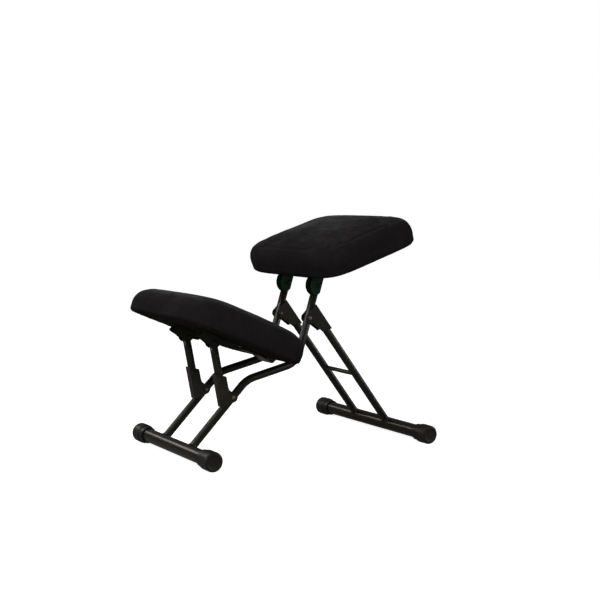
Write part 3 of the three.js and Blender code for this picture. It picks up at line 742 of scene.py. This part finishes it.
def channel(outline, web_edges, opening, holes, tubes, mat, name, bend=2.4, bevel=0.45):
    """U-shaped sheet bracket: full-width prism, long web edges rolled round, then its inside, holes and tube seats cut out."""
    bm = prism(outline, -HALF, HALF)
    long_edges = []
    for e in bm.edges:
        a, b = e.verts[0].co, e.verts[1].co
        if abs(a.x - b.x) < 1e-6 and web_edges(((a.y + b.y) / 2, (a.z + b.z) / 2), (a - b)):
            long_edges.append(e)
    if long_edges:
        bmesh.ops.bevel(bm, geom=long_edges, offset=bend, segments=5, profile=0.5, affect="EDGES")
    o = to_object(name, bm, mat)
    cutters = [prism(opening, -SLOT, SLOT)] if opening else []
    cutters += [cylinder_x(*h, r=3.25, half=20, seg=40) for h in holes]
    cutters += tubes
    return carve(o, cutters, bevel=bevel)


# rear: web behind, stopping on the seat post
rw0, rw1 = LEG_OFF + TUBE_R + 0.3, LEG_OFF + TUBE_R + 2.1
rear_outline = [(rw1, 17.5)] + arc(0, 0, 13, 82, 212, 26) + [(-1.5, -21.5), (7.5, -51), (8.5, -57), (14, -58.5), (rw1, -73)]
rear_outline = fillet(rear_outline, [2] + [0] * 27 + [8, 10, 1.2, 1.2, 1.5], 5)
post_a, post_b = local(tuple(Vector(PR) - post_dir * 90), PR, LEG_LEAN), local(tuple(Vector(PR) + post_dir * 90), PR, LEG_LEAN)
rear_br = channel(rear_outline, lambda m, d: m[0] > rw1 - 0.2, [(-70, -120), (rw0, -120), (rw0, 60), (-70, 60)], [(0, 0)],
                  [cylinder_between((0, *post_a), (0, *post_b), TUBE_R + 0.25)], MAT["frame_paint"], "rear_bracket_master")
# knee: web in front, its bottom edge stopping on the main tube
kw1, kw0 = KNEE_OFF - TUBE_R - 0.3, KNEE_OFF - TUBE_R - 2.3
knee_outline = fillet([(kw0, -18), (kw0, 73), (kw0 + 3, 73), (-9, 62), (-9, 30), (-6.5, 22), (-1.5, 16.5)], [0, 1, 1, 5, 10, 8, 0], 6)
knee_outline = knee_outline + arc(0, 0, 14, 78, -92, 30)
tube_a, tube_b = local(tuple(Vector(FRONT)), PK, KNEE_LEAN), local(B1, PK, KNEE_LEAN)
knee_br = channel(knee_outline, lambda m, d: m[0] < kw0 + 0.2, [(kw1, -80), (80, -80), (80, 140), (kw1, 140)], [(0, 0)],
                  [cylinder_between((0, *tube_a), (0, *tube_b), TUBE_R + 0.25)], MAT["frame_paint"], "knee_bracket_master")
for side, s in SIDES:
    place(twin(rear_br, f"rear_bracket_{side}_finish"), AT_REAR, "rear_frame", [f"rear_bracket_{side}"], s * TRACK)
    place(twin(knee_br, f"knee_bracket_{side}_finish"), AT_KNEE, "knee_frame", [f"knee_bracket_{side}"], s * TRACK)

# moulded seat bracket, in the seat frame
sp_l = local(SP, SEAT_AT, SEAT_TILT)
kp_p = local(KP, PAD_AT, PAD_TILT)


def off_axis(behind, along):
    c, s = math.cos(math.radians(POST_LEAN)), math.sin(math.radians(POST_LEAN))
    return local((SP[0] + behind * c + along * s, SP[1] - behind * s + along * c), SEAT_AT, SEAT_TILT)


u0 = sp_l[0]
nose = [(-24, 22), (-28.2, 8), (-27.5, -3), (-24, -13), (-17.5, -21), (-8, -27), (1, -27), (6, -22), (9.8, -18)]
seat_outline = [off_axis(*p) for p in nose] + [off_axis(9.8, 26), (u0 + 58, -6), (u0 + 108, -6), (u0 + 112, -0.3), (u0 - 22, -0.3)]
seat_outline = fillet(seat_outline, [8, 10, 12, 12, 12, 9, 6, 6, 8, 14, 20, 3, 1, 1], 6)
seat_open = [off_axis(-60, 8), off_axis(-TUBE_R - 0.3, 8), off_axis(-TUBE_R - 0.3, 18), (u0 - 4, -4), (u0 + 150, -4), (u0 + 150, -90), (u0 - 90, -90)]
seat_br = to_object("seat_bracket_master", prism(seat_outline, -HALF, HALF), MAT["moulded_plastic"])
carve(seat_br, [prism(seat_open, -SLOT, SLOT), cylinder_x(*sp_l, r=3.25, half=20, seg=40)], bevel=0.8, segments=3)

# knee pad bracket, in the pad frame
ku, kn = kp_p
pad_outline = [(ku - 46, -0.3), (ku - 47, -12), (ku - 51, -16.5), (ku - 46, -21), (ku - 26, -25)] + arc(ku, kn, 17, 215, 305, 18)
pad_outline += [(ku + 16, -21), (ku + 34, -18.5), (ku + 41, -7.5), (ku + 56, -4.6), (ku + 98, -4.6), (ku + 101, -0.3)]
pad_outline = fillet(pad_outline, [1, 5, 2, 4, 8] + [0] * 19 + [5, 5, 6, 8, 2, 1], 6)
pad_br = to_object("knee_pad_bracket_master", prism(pad_outline, -HALF, HALF), OLIVE)
carve(pad_br, [prism([(ku - 90, -2.6), (ku - 90, -90), (ku + 180, -90), (ku + 180, -2.6)], -SLOT, SLOT), cylinder_x(ku, kn, r=3.25, half=20, seg=40)], bevel=0.7, segments=3)
for side, s in SIDES:
    place(twin(seat_br, f"seat_bracket_{side}_finish"), AT_SEAT, "seat", [f"seat_bracket_{side}"], s * TRACK)
    place(twin(pad_br, f"knee_pad_bracket_{side}_finish"), AT_PAD, "knee_pad", [f"knee_pad_bracket_{side}"], s * TRACK)
for o in (rear_br, knee_br, seat_br, pad_br):
    bpy.data.objects.remove(o)

# ------------------------------------------------------------------ fasteners
H = HALF + 0.3


def bolt_master():
    """Button head with a hexagonal socket, shank and a few visible thread ridges beyond the nut."""
    prof = [(0, H + 3.5), (2.4, H + 3.42), (3.6, H + 2.95), (4.6, H + 2.2), (5.25, H + 1.3), (5.5, H + 0.7), (5.5, H + 0.25), (5.3, H), (3, H), (3, -H - 4.5)]
    x = -H - 4.5
    for k in range(5):
        prof += [(3.0, x - 0.15), (2.62, x - 0.4)]
        x -= 0.5
    prof += [(2.5, x - 0.3), (0, x - 0.3)]
    o = lathe_x("bolt_master", prof, MAT["fastener_steel"], 36)
    hexa = prism([(1.9 * math.cos(math.radians(60 * k + 15)), 1.9 * math.sin(math.radians(60 * k + 15))) for k in range(6)], H + 1.3, H + 6)
    return carve(o, [hexa], bevel=0)


def nut_master():
    bm = prism([(5.6 * math.cos(math.radians(60 * k)), 5.6 * math.sin(math.radians(60 * k))) for k in range(6)], -H - 4.4, -H)
    o = to_object("nut_master", bm, MAT["fastener_steel"])
    carve(o, [cylinder_x(0, 0, 3.15, 40, 32)], bevel=0.35, segments=2)
    ring = lathe_x("ring", [(3.15, -H - 4.3), (4.7, -H - 4.3), (4.75, -H - 5.2), (4.3, -H - 6.0), (3.4, -H - 6.1), (3.15, -H - 5.8), (3.15, -H - 4.3)], MAT["moulded_plastic"], 32)
    o.data.materials.append(MAT["moulded_plastic"])
    bm = bmesh.new()
    bm.from_mesh(o.data)
    n = len(bm.faces)
    bm.from_mesh(ring.data)
    bm.faces.ensure_lookup_table()
    for f in bm.faces[n:]:
        f.material_index = 1
    bm.to_mesh(o.data)
    bm.free()
    bpy.data.objects.remove(ring)
    return o


bolt0, nut0 = bolt_master(), nut_master()
for stem, at, body in (("knee_pivot", frame_at(*PK, 0), "main_frame"), ("rear_pivot", frame_at(*PR, 0), "main_frame"),
                       ("seat_pivot", frame_at(*SP, 0), "main_frame"), ("pad_pivot", frame_at(*KP, 0), "knee_frame")):
    for i, (side, s) in enumerate(SIDES):
        for kind, master in (("bolt", bolt0), ("nut", nut0)):
            o = twin(master, f"{stem}_{kind}_{side}_finish")
            turn = Matrix.Rotation(math.radians(17 * len(stem) + 40 * i), 4, "X")
            o.data.transform(turn if s > 0 else Matrix.Rotation(math.pi, 4, "Z") @ turn)
            if stem in ("seat_pivot", "pad_pivot"):
                o.data.materials[0] = BLACK
            place(o, at, body, [f"{stem}_{kind}_{side}"], s * TRACK)
for o in (bolt0, nut0):
    bpy.data.objects.remove(o)

for side, s in SIDES:
    o = plug("p", None, None, None)
    o.name = f"seat_post_plug_{side}_finish"
    place(o, frame_at(*post_end, -POST_LEAN), "main_frame", [f"seat_post_plug_{side}"], s * TRACK)
    o = plug("p", None, None, None)
    o.name = f"knee_post_plug_{side}_finish"
    place(o, AT_KNEE @ Matrix.Translation((0, KNEE_OFF * MM, knee_top * MM)), "knee_frame", [f"knee_post_plug_{side}"], s * TRACK)


def screw_master(z):
    """Pan-head wood screw pointing up, with a cross recess."""
    prof = [(0, -2.7), (1.6, -2.65), (2.9, -2.2), (3.7, -1.4), (4.0, -0.6), (3.9, 0), (1.8, 0), (1.8, 8), (0, 11)]
    o = lathe_x("screw_master", [(r, x) for r, x in prof], MAT["fastener_steel"], 28)
    o.data.transform(Matrix.Rotation(-math.pi / 2, 4, "Y"))
    cut = []
    for a in (35, 125):
        bm = prism([(-0.45, -4), (0.45, -4), (0.45, -1.5), (-0.45, -1.5)], -2.2, 2.2)
        bmesh.ops.rotate(bm, cent=(0, 0, 0), matrix=Matrix.Rotation(math.radians(a), 3, "Z"), verts=bm.verts)
        cut.append(bm)
    return carve(o, cut, bevel=0)


screw0 = screw_master(0)
for stem, at, us, z, body in (("seat_screw", AT_SEAT, (u0 + 38, u0 + 92), -4.3, "seat"), ("knee_screw", AT_PAD, (ku + 34, ku + 84), -2.9, "knee_pad")):
    for side, s in SIDES:
        for end, u in zip(("front", "rear"), us):
            o = twin(screw0, f"{stem}_{side}_{end}_finish")
            place(o, at @ Matrix.Translation((0, u * MM, z * MM)), body, [f"{stem}_{side}_{end}"], s * TRACK)
rest_u = local((MID_Y - 98, PAD_AT[1] - (MID_Y - 98 - PAD_AT[0]) * math.tan(math.radians(-PAD_TILT))), PAD_AT, PAD_TILT)[0]
for side, s in SIDES:
    place(twin(screw0, f"rest_screw_{side}_finish"), AT_PAD @ Matrix.Translation((0, rest_u * MM, -3.9 * MM)), "knee_pad", [f"rest_screw_{side}"], s * 15)
bpy.data.objects.remove(screw0)

# ------------------------------------------------------------------ bent rest strip under the knee pad
rest_top = (brace[0], brace[1] + 7 + 0.3 + 1.6)
slope = math.tan(math.radians(-PAD_TILT))
r_line = [(y, PAD_AT[1] - (y - PAD_AT[0]) * slope - 2.2) for y in (MID_Y - 118, MID_Y - 74)] + [(MID_Y - 41, LIFT + 231), (rest_top[0] - 14, rest_top[1]), (rest_top[0] - 2, rest_top[1])]
r_line = bent(r_line, [8, 5, 5], 6)
r_line = [local(p, PAD_AT, PAD_TILT) for p in r_line]
side_a, side_b = [], []
for i, p in enumerate(r_line):
    a, b = r_line[max(0, i - 1)], r_line[min(len(r_line) - 1, i + 1)]
    d = Vector((b[0] - a[0], b[1] - a[1])).normalized()
    side_a.append((p[0] - d.y * 1.5, p[1] + d.x * 1.5))
    side_b.append((p[0] + d.y * 1.5, p[1] - d.x * 1.5))
rest = to_object("knee_pad_rest_finish", prism(side_a + side_b[::-1], -27.5, 27.5), MAT["frame_paint"])
carve(rest, [], bevel=0.5, segments=3, angle=50)
place(rest, AT_PAD, "knee_pad", ["knee_pad_rest"])

# ------------------------------------------------------------------ cushions
def plan_point(hx, hy, power, a):
    c, s, e = math.cos(a), math.sin(a), 2 / power
    return (hx * math.copysign(abs(c) ** e, c), hy * math.copysign(abs(s) ** e, s))


def even_plan(hx, hy, power, n):
    """Points evenly spaced along the rounded-rectangle plan."""
    raw = [Vector(plan_point(hx, hy, power, 2 * math.pi * k / 2880)) for k in range(2881)]
    dist = [0.0]
    for a, b in zip(raw, raw[1:]):
        dist.append(dist[-1] + (b - a).length)
    out, j = [], 0
    for k in range(n):
        want = dist[-1] * k / n
        while dist[j + 1] < want:
            j += 1
        t = (want - dist[j]) / max(1e-9, dist[j + 1] - dist[j])
        out.append(raw[j].lerp(raw[j + 1], t))
    return out


def cushion(name, hx, hy, form, mat, pinch, seed):
    """Foam pad under a stretched cover: pulled round the board's edge below, fullest low on its sides, crowned on top."""
    mid, edge, crown, roll, tuck, power = form
    rows = []
    for z, inset in ((3.0, 22), (3.0, 17), (1.2, 14.0), (0.5, 11.0), (0.25, 8.5), (0.35, tuck + 2.6), (0.9, tuck + 1.3), (2.2, tuck + 0.5), (4.5, tuck * 0.75)):
        rows.append((z, inset, 1.0))
    for f, k in ((0.35, 0.45), (0.52, 0.28), (0.7, 0.12), (0.85, 0.03), (1.0, 0.0)):
        rows.append((mid * f, tuck * k, 1.0))
    for k in range(1, 10):
        a = math.radians(10 * k)
        rows.append((mid + (edge - mid) * math.sin(a), roll * (1 - math.cos(a)), 1.0))
    for f in (0.95, 0.88, 0.79, 0.68, 0.55, 0.42, 0.28, 0.14):
        rows.append((edge + crown * (1 - f * f), roll, f))
    n = 144
    unit = even_plan(1.0, hy / hx, power, n)
    rings = []
    for z, inset, f in rows:
        ring = []
        for u in unit:
            x, y = u.x * (hx - inset) * f, u.y / (hy / hx) * (hy - inset) * f
            ring.append((x, y, z))
        rings.append(ring)
    o = rings_mesh(name, rings, mat, (True, True))
    swell(o, 0.005, 4.0, 20)
    m = o.modifiers.new("fine", "SUBSURF")
    m.levels = m.render_levels = 1
    apply_all(o)
    settle_cover(o, hx, hy, edge, pinch, seed)
    o.data.polygons.foreach_set("use_smooth", [True] * len(o.data.polygons))
    return o


def swell(o, voxel, pressure, frames):
    """Cloth simulation of the cover, blown up from inside and held along the board's edge; the foam stops it from going in."""
    from mathutils.bvhtree import BVHTree
    foam = o.data.copy()
    tree = BVHTree.FromPolygons([v.co.copy() for v in foam.vertices], [tuple(p.vertices) for p in foam.polygons])
    m = o.modifiers.new("remesh", "REMESH")
    m.mode = "VOXEL"
    m.voxel_size = voxel
    apply_all(o)
    me = o.data
    n = len(me.vertices)
    rest = np.zeros(n * 3)
    me.vertices.foreach_get("co", rest)
    rest = rest.reshape(-1, 3)
    pins = o.vertex_groups.new(name="held")
    low = rest[:, 2] < 0.0065
    pins.add([int(i) for i in np.nonzero(low)[0]], 1.0, "REPLACE")
    c = o.modifiers.new("cover", "CLOTH")
    s = c.settings
    s.quality = 4
    s.mass = 0.25
    s.tension_stiffness = 12
    s.compression_stiffness = 12
    s.shear_stiffness = 4
    s.bending_stiffness = 0.4
    s.vertex_group_mass = "held"
    s.use_pressure = True
    s.uniform_pressure_force = pressure
    s.effector_weights.gravity = 0
    c.collision_settings.use_collision = False
    c.point_cache.frame_start, c.point_cache.frame_end = 1, frames
    for f in range(1, frames + 1):
        scene.frame_set(f)
    ev = o.evaluated_get(bpy.context.evaluated_depsgraph_get())
    out = np.zeros(n * 3)
    ev.data.vertices.foreach_get("co", out)
    d = out.reshape(-1, 3) - rest
    o.modifiers.remove(c)
    o.vertex_groups.clear()
    scene.frame_set(1)
    base, nrm = np.zeros((n, 3)), np.zeros((n, 3))
    for i, p in enumerate(rest):
        q, nn, _, _ = tree.find_nearest(Vector(p))
        base[i], nrm[i] = q, nn
    outward = np.zeros(n * 3)
    me.vertices.foreach_get("normal", outward)
    outward = outward.reshape(-1, 3)
    nrm *= np.sign((nrm * outward).sum(1))[:, None] + 1e-9
    along = (d * outward).sum(1)
    slide = d - outward * along[:, None]
    ups, downs = 0.0022, 0.0009
    along = np.where(along > 0, ups * np.tanh(along / ups), downs * np.tanh(along / downs))
    size = np.linalg.norm(slide, axis=1)
    slide *= (0.002 * np.tanh(size / 0.002) / np.maximum(size, 1e-9))[:, None]
    wall = np.clip((rest[:, 2] - 0.004) / 0.012, 0, 1)
    me.vertices.foreach_set("co", (base + (outward * along[:, None] + slide) * wall[:, None]).ravel())
    me.update()
    bpy.data.meshes.remove(foam)


def settle_cover(o, hx, hy, edge, pinch, seed):
    """Small true-shape detail of a wrapped cover: gathers at the lower corners, slight pull-in along the straight sides, soft unevenness."""
    me = o.data
    n = len(me.vertices)
    co = np.zeros(n * 3)
    nr = np.zeros(n * 3)
    me.vertices.foreach_get("co", co)
    me.vertices.foreach_get("normal", nr)
    co, nr = co.reshape(-1, 3), nr.reshape(-1, 3)
    out = co.copy()
    for i in range(n):
        x, y, z = co[i] / MM
        fx, fy = abs(x) / hx, abs(y) / hy
        corner = max(0.0, min(1.0, (min(fx, fy) - 0.72) / 0.2))
        rim = max(0.0, 1 - z / 30.0)
        a = math.atan2(fy - 0.6, fx - 0.6)
        gather = math.sin(a * 26 + seed) * corner * rim * (0.9 if z > 1.0 else 0.3)
        side = max(0.0, min(1.0, (max(fx, fy) - 0.9) / 0.08))
        along = (y / hy if fx > fy else x / hx)
        pull = side * (1 - along * along) * max(0.0, 1 - abs(z - 30) / 45.0) * pinch
        top = max(0.0, min(1.0, (z - 20) / 30))
        p = Vector((x, y, z))
        lumps = noise.noise(p * 0.013 + Vector((seed, 0, 0))) * 0.9 + noise.noise(p * 0.04 + Vector((0, seed, 0))) * 0.35
        out[i] += nr[i] * MM * (0.75 * gather - pull + lumps * (0.35 + 0.65 * top) * (1 if z > 4 else 0.1))
    me.vertices.foreach_set("co", out.ravel())
    me.update()


def hem(name, hx, hy, power, seed):
    """The cover's edge turned under the board: a thin flat band with a slightly ragged inner edge and a pleat at each corner."""
    n = 360
    outer = even_plan(hx - 6.6, hy - 6.6, power, n)
    inner = even_plan(hx - 20.0, hy - 20.0, power, n)
    rings = [[], [], [], [], [], []]
    for k in range(n):
        o_, i_ = outer[k], inner[k]
        w = 1.1 * noise.noise(Vector((o_.x * 0.06, o_.y * 0.06, seed)))
        corner = max(0.0, min(1.0, (min(abs(o_.x) / hx, abs(o_.y) / hy) - 0.72) / 0.2))
        fold = corner * abs(math.sin(math.atan2(abs(o_.y) - hy * 0.7, abs(o_.x) - hx * 0.7) * 9)) * 0.5
        d = (o_ - i_).normalized()
        inn = i_ + d * w
        rings[0].append((o_.x, o_.y, 0.9))
        rings[1].append((o_.x - d.x * 0.3, o_.y - d.y * 0.3, -0.35 - fold * 0.6))
        mid_ = o_.lerp(inn, 0.45)
        rings[2].append((mid_.x, mid_.y, -0.75 - fold))
        rings[3].append((inn.x + d.x * 0.5, inn.y + d.y * 0.5, -0.85 - fold * 0.7))
        rings[4].append((inn.x, inn.y, -0.6))
        rings[5].append((inn.x, inn.y, -0.08))
    rings.append([(o_.x - 0.0, o_.y, 0.3) for o_ in outer])
    return rings_mesh(name, rings[:6], HEM, (False, False))


def staples(name, hx, hy, power):
    """Wire staples holding the hem, one every 34 mm or so, each laid across the band's middle."""
    loop = even_plan(hx - 16.0, hy - 16.0, power, 44)
    verts, faces = [], []
    for k, p in enumerate(loop):
        q = loop[(k + 1) % len(loop)]
        t = (q - p).normalized()
        ang = 0.18 * noise.noise(Vector((k * 3.7, hx, 0.5)))
        t = Vector((t.x * math.cos(ang) - t.y * math.sin(ang), t.x * math.sin(ang) + t.y * math.cos(ang)))
        nrm = Vector((-t.y, t.x))
        path = [(-5.2, 0.6), (-5.15, -0.95), (-4.8, -1.25), (4.8, -1.25), (5.15, -0.95), (5.2, 0.6)]
        base = len(verts)
        for s_, z in path:
            c = p + t * s_
            for a in range(6):
                ca, sa = math.cos(math.pi * a / 3) * 0.35, math.sin(math.pi * a / 3) * 0.3
                verts.append((c.x + nrm.x * ca, c.y + nrm.y * ca, z + sa))
        for i in range(len(path) - 1):
            for a in range(6):
                faces.append((base + i * 6 + a, base + i * 6 + (a + 1) % 6, base + (i + 1) * 6 + (a + 1) % 6, base + (i + 1) * 6 + a))
        faces.append(tuple(base + a for a in range(6)))
        faces.append(tuple(base + (len(path) - 1) * 6 + a for a in range(6)))
    return make(name, verts, faces, WIRE)


SEAT_FORM, PAD_FORM = (31, 74, 22, 25.6, 3.5, 5.6), (26.7, 75, 19, 42, 3.2, 6.4)  # side height, edge height, crown, edge roll, tuck, squareness
for stem, at, body, hx, hy, form, pinch, seed in (("seat", AT_SEAT, "seat", 233.7, 171.2, SEAT_FORM, 0.4, 1.7), ("knee", AT_PAD, "knee_pad", 224.1, 187.7, PAD_FORM, 0.4, 4.1)):
    o = cushion(f"{stem}_cushion_cover", hx, hy, form, MAT["pad_fabric"], pinch, seed)
    place(o, at, body, [f"{stem}_cushion"])
    place(hem(f"{stem}_cover_hem", hx, hy, form[5], seed), at, body, [])
    place(staples(f"{stem}_hem_staples", hx, hy, form[5]), at, body, [])
    board = frame["nodes"][f"{stem}_board"]
    board.data.materials.clear()
    board.data.materials.append(MAT["base_board"])
    b = board.modifiers.new("arris", "BEVEL")
    b.width, b.segments, b.limit_method, b.angle_limit = 0.0007, 2, "ANGLE", math.radians(50)

# any CAD node still shown takes the finish of its slot
slots = {s["node"]: s["material_slot"] for s in frame["record"]["subparts"]}
for n, o in frame["nodes"].items():
    o.data.materials.clear()
    o.data.materials.append(MAT[slots[n]])

# ------------------------------------------------------------------ studio
def build_floor():
    me = bpy.data.meshes.new("studio_floor")
    s = 60.0
    me.from_pydata([(-s, -s, 0), (s, -s, 0), (s, s, 0), (-s, s, 0)], [], [(0, 1, 2, 3)])
    o = bpy.data.objects.new("studio_floor", me)
    scene.collection.objects.link(o)
    mat = bpy.data.materials.new("pale_floor")
    mat.use_nodes = True
    t = mat.node_tree
    t.nodes.clear()
    out = t.nodes.new("ShaderNodeOutputMaterial")
    lp = t.nodes.new("ShaderNodeLightPath")
    near, far = t.nodes.new("ShaderNodeBsdfDiffuse"), t.nodes.new("ShaderNodeBsdfDiffuse")
    near.inputs[0].default_value = (0.72, 0.72, 0.72, 1)
    far.inputs[0].default_value = (0.20, 0.19, 0.18, 1)
    glow = t.nodes.new("ShaderNodeEmission")
    glow.inputs[0].default_value = (1, 1, 1, 1)
    glow.inputs[1].default_value = 0.80
    add = t.nodes.new("ShaderNodeAddShader")
    t.links.new(near.outputs[0], add.inputs[0])
    t.links.new(glow.outputs[0], add.inputs[1])
    mix = t.nodes.new("ShaderNodeMixShader")
    t.links.new(lp.outputs["Is Camera Ray"], mix.inputs[0])
    t.links.new(far.outputs[0], mix.inputs[1])
    t.links.new(add.outputs[0], mix.inputs[2])
    t.links.new(mix.outputs[0], out.inputs[0])
    me.materials.append(mat)
    return o


build_floor()
world = bpy.data.worlds.new("studio")
scene.world = world
world.use_nodes = True
wt = world.node_tree
wt.nodes.clear()
wo = wt.nodes.new("ShaderNodeOutputWorld")
lp = wt.nodes.new("ShaderNodeLightPath")
bg_cam, bg_fill = wt.nodes.new("ShaderNodeBackground"), wt.nodes.new("ShaderNodeBackground")
bg_cam.inputs[0].default_value, bg_cam.inputs[1].default_value = (1, 1, 1, 1), 1.0
bg_fill.inputs[0].default_value, bg_fill.inputs[1].default_value = (1, 1, 1, 1), 0.11
wm = wt.nodes.new("ShaderNodeMixShader")
wt.links.new(lp.outputs["Is Camera Ray"], wm.inputs[0])
wt.links.new(bg_fill.outputs[0], wm.inputs[1])
wt.links.new(bg_cam.outputs[0], wm.inputs[2])
wt.links.new(wm.outputs[0], wo.inputs[0])


def aim(o, target):
    o.rotation_euler = (Vector(target) - o.location).to_track_quat("-Z", "Y").to_euler()


def area(name, loc, target, w, h, power):
    d = bpy.data.lights.new(name, "AREA")
    d.shape, d.size, d.size_y, d.energy = "RECTANGLE", w, h, power
    o = bpy.data.objects.new(name, d)
    o.location = loc
    scene.collection.objects.link(o)
    aim(o, target)
    return o


sun = bpy.data.lights.new("overhead_diffuser", "SUN")
sun.energy, sun.angle = 0.65, math.radians(70)
so = bpy.data.objects.new("overhead_diffuser", sun)
so.rotation_euler = (math.radians(32), math.radians(6), 0)
scene.collection.objects.link(so)
# each lamp sits where one family of tubes mirrors it to the camera
HUB = Vector((0, MID_Y * MM, 0.3))
for lamp, toward, far, w, h, power, tint in (
        ("front_strip_low", (-0.17, -0.92, 0.34), 2.8, 0.14, 1.9, 16, (1, 1, 1)),
        ("front_strip_high", (-0.20, -0.415, 0.887), 2.5, 0.16, 1.4, 10, (1, 1, 1)),
        ("far_left_panel", (-0.833, -0.396, 0.386), 3.0, 1.0, 0.6, 8, (1, 0.90, 0.80)),
        ("right_panel", (0.85, 0.48, 0.20), 3.0, 0.5, 1.0, 4, (1, 0.98, 0.93)),
        ("back_rim", (0.40, 0.90, 0.20), 3.0, 0.22, 1.2, 12, (1, 1, 1))):
    area(lamp, HUB + Vector(toward).normalized() * far, HUB, w, h, power).data.color = tint
# lifts the shaded cloth sides without a highlight of its own on the tubes
fill = area("camera_side_fill", HUB + Vector((0.80, -0.45, 0.35)).normalized() * 3.0, HUB, 2.0, 2.0, 80)
fill.visible_glossy = False

cam = bpy.data.cameras.new("camera")
cam.lens, cam.sensor_width, cam.sensor_fit = 65.5, 36.0, "HORIZONTAL"
co_ = bpy.data.objects.new("camera", cam)
scene.collection.objects.link(co_)
AZ, EL = math.radians(56.776), math.radians(5.3345)
back = Vector((math.sin(AZ) * math.cos(EL), -math.cos(AZ) * math.cos(EL), math.sin(EL)))
right = (-back).cross(Vector((0, 0, 1))).normalized()
up = right.cross(-back)
m = Matrix((right, up, back)).transposed().to_4x4()
m.translation = (2.6169, -1.6436 + MID_Y * MM, 0.6939 + LIFT * MM)
co_.matrix_world = m
scene.camera = co_
scene.view_settings.view_transform = "Standard"
scene.view_settings.look = "None"
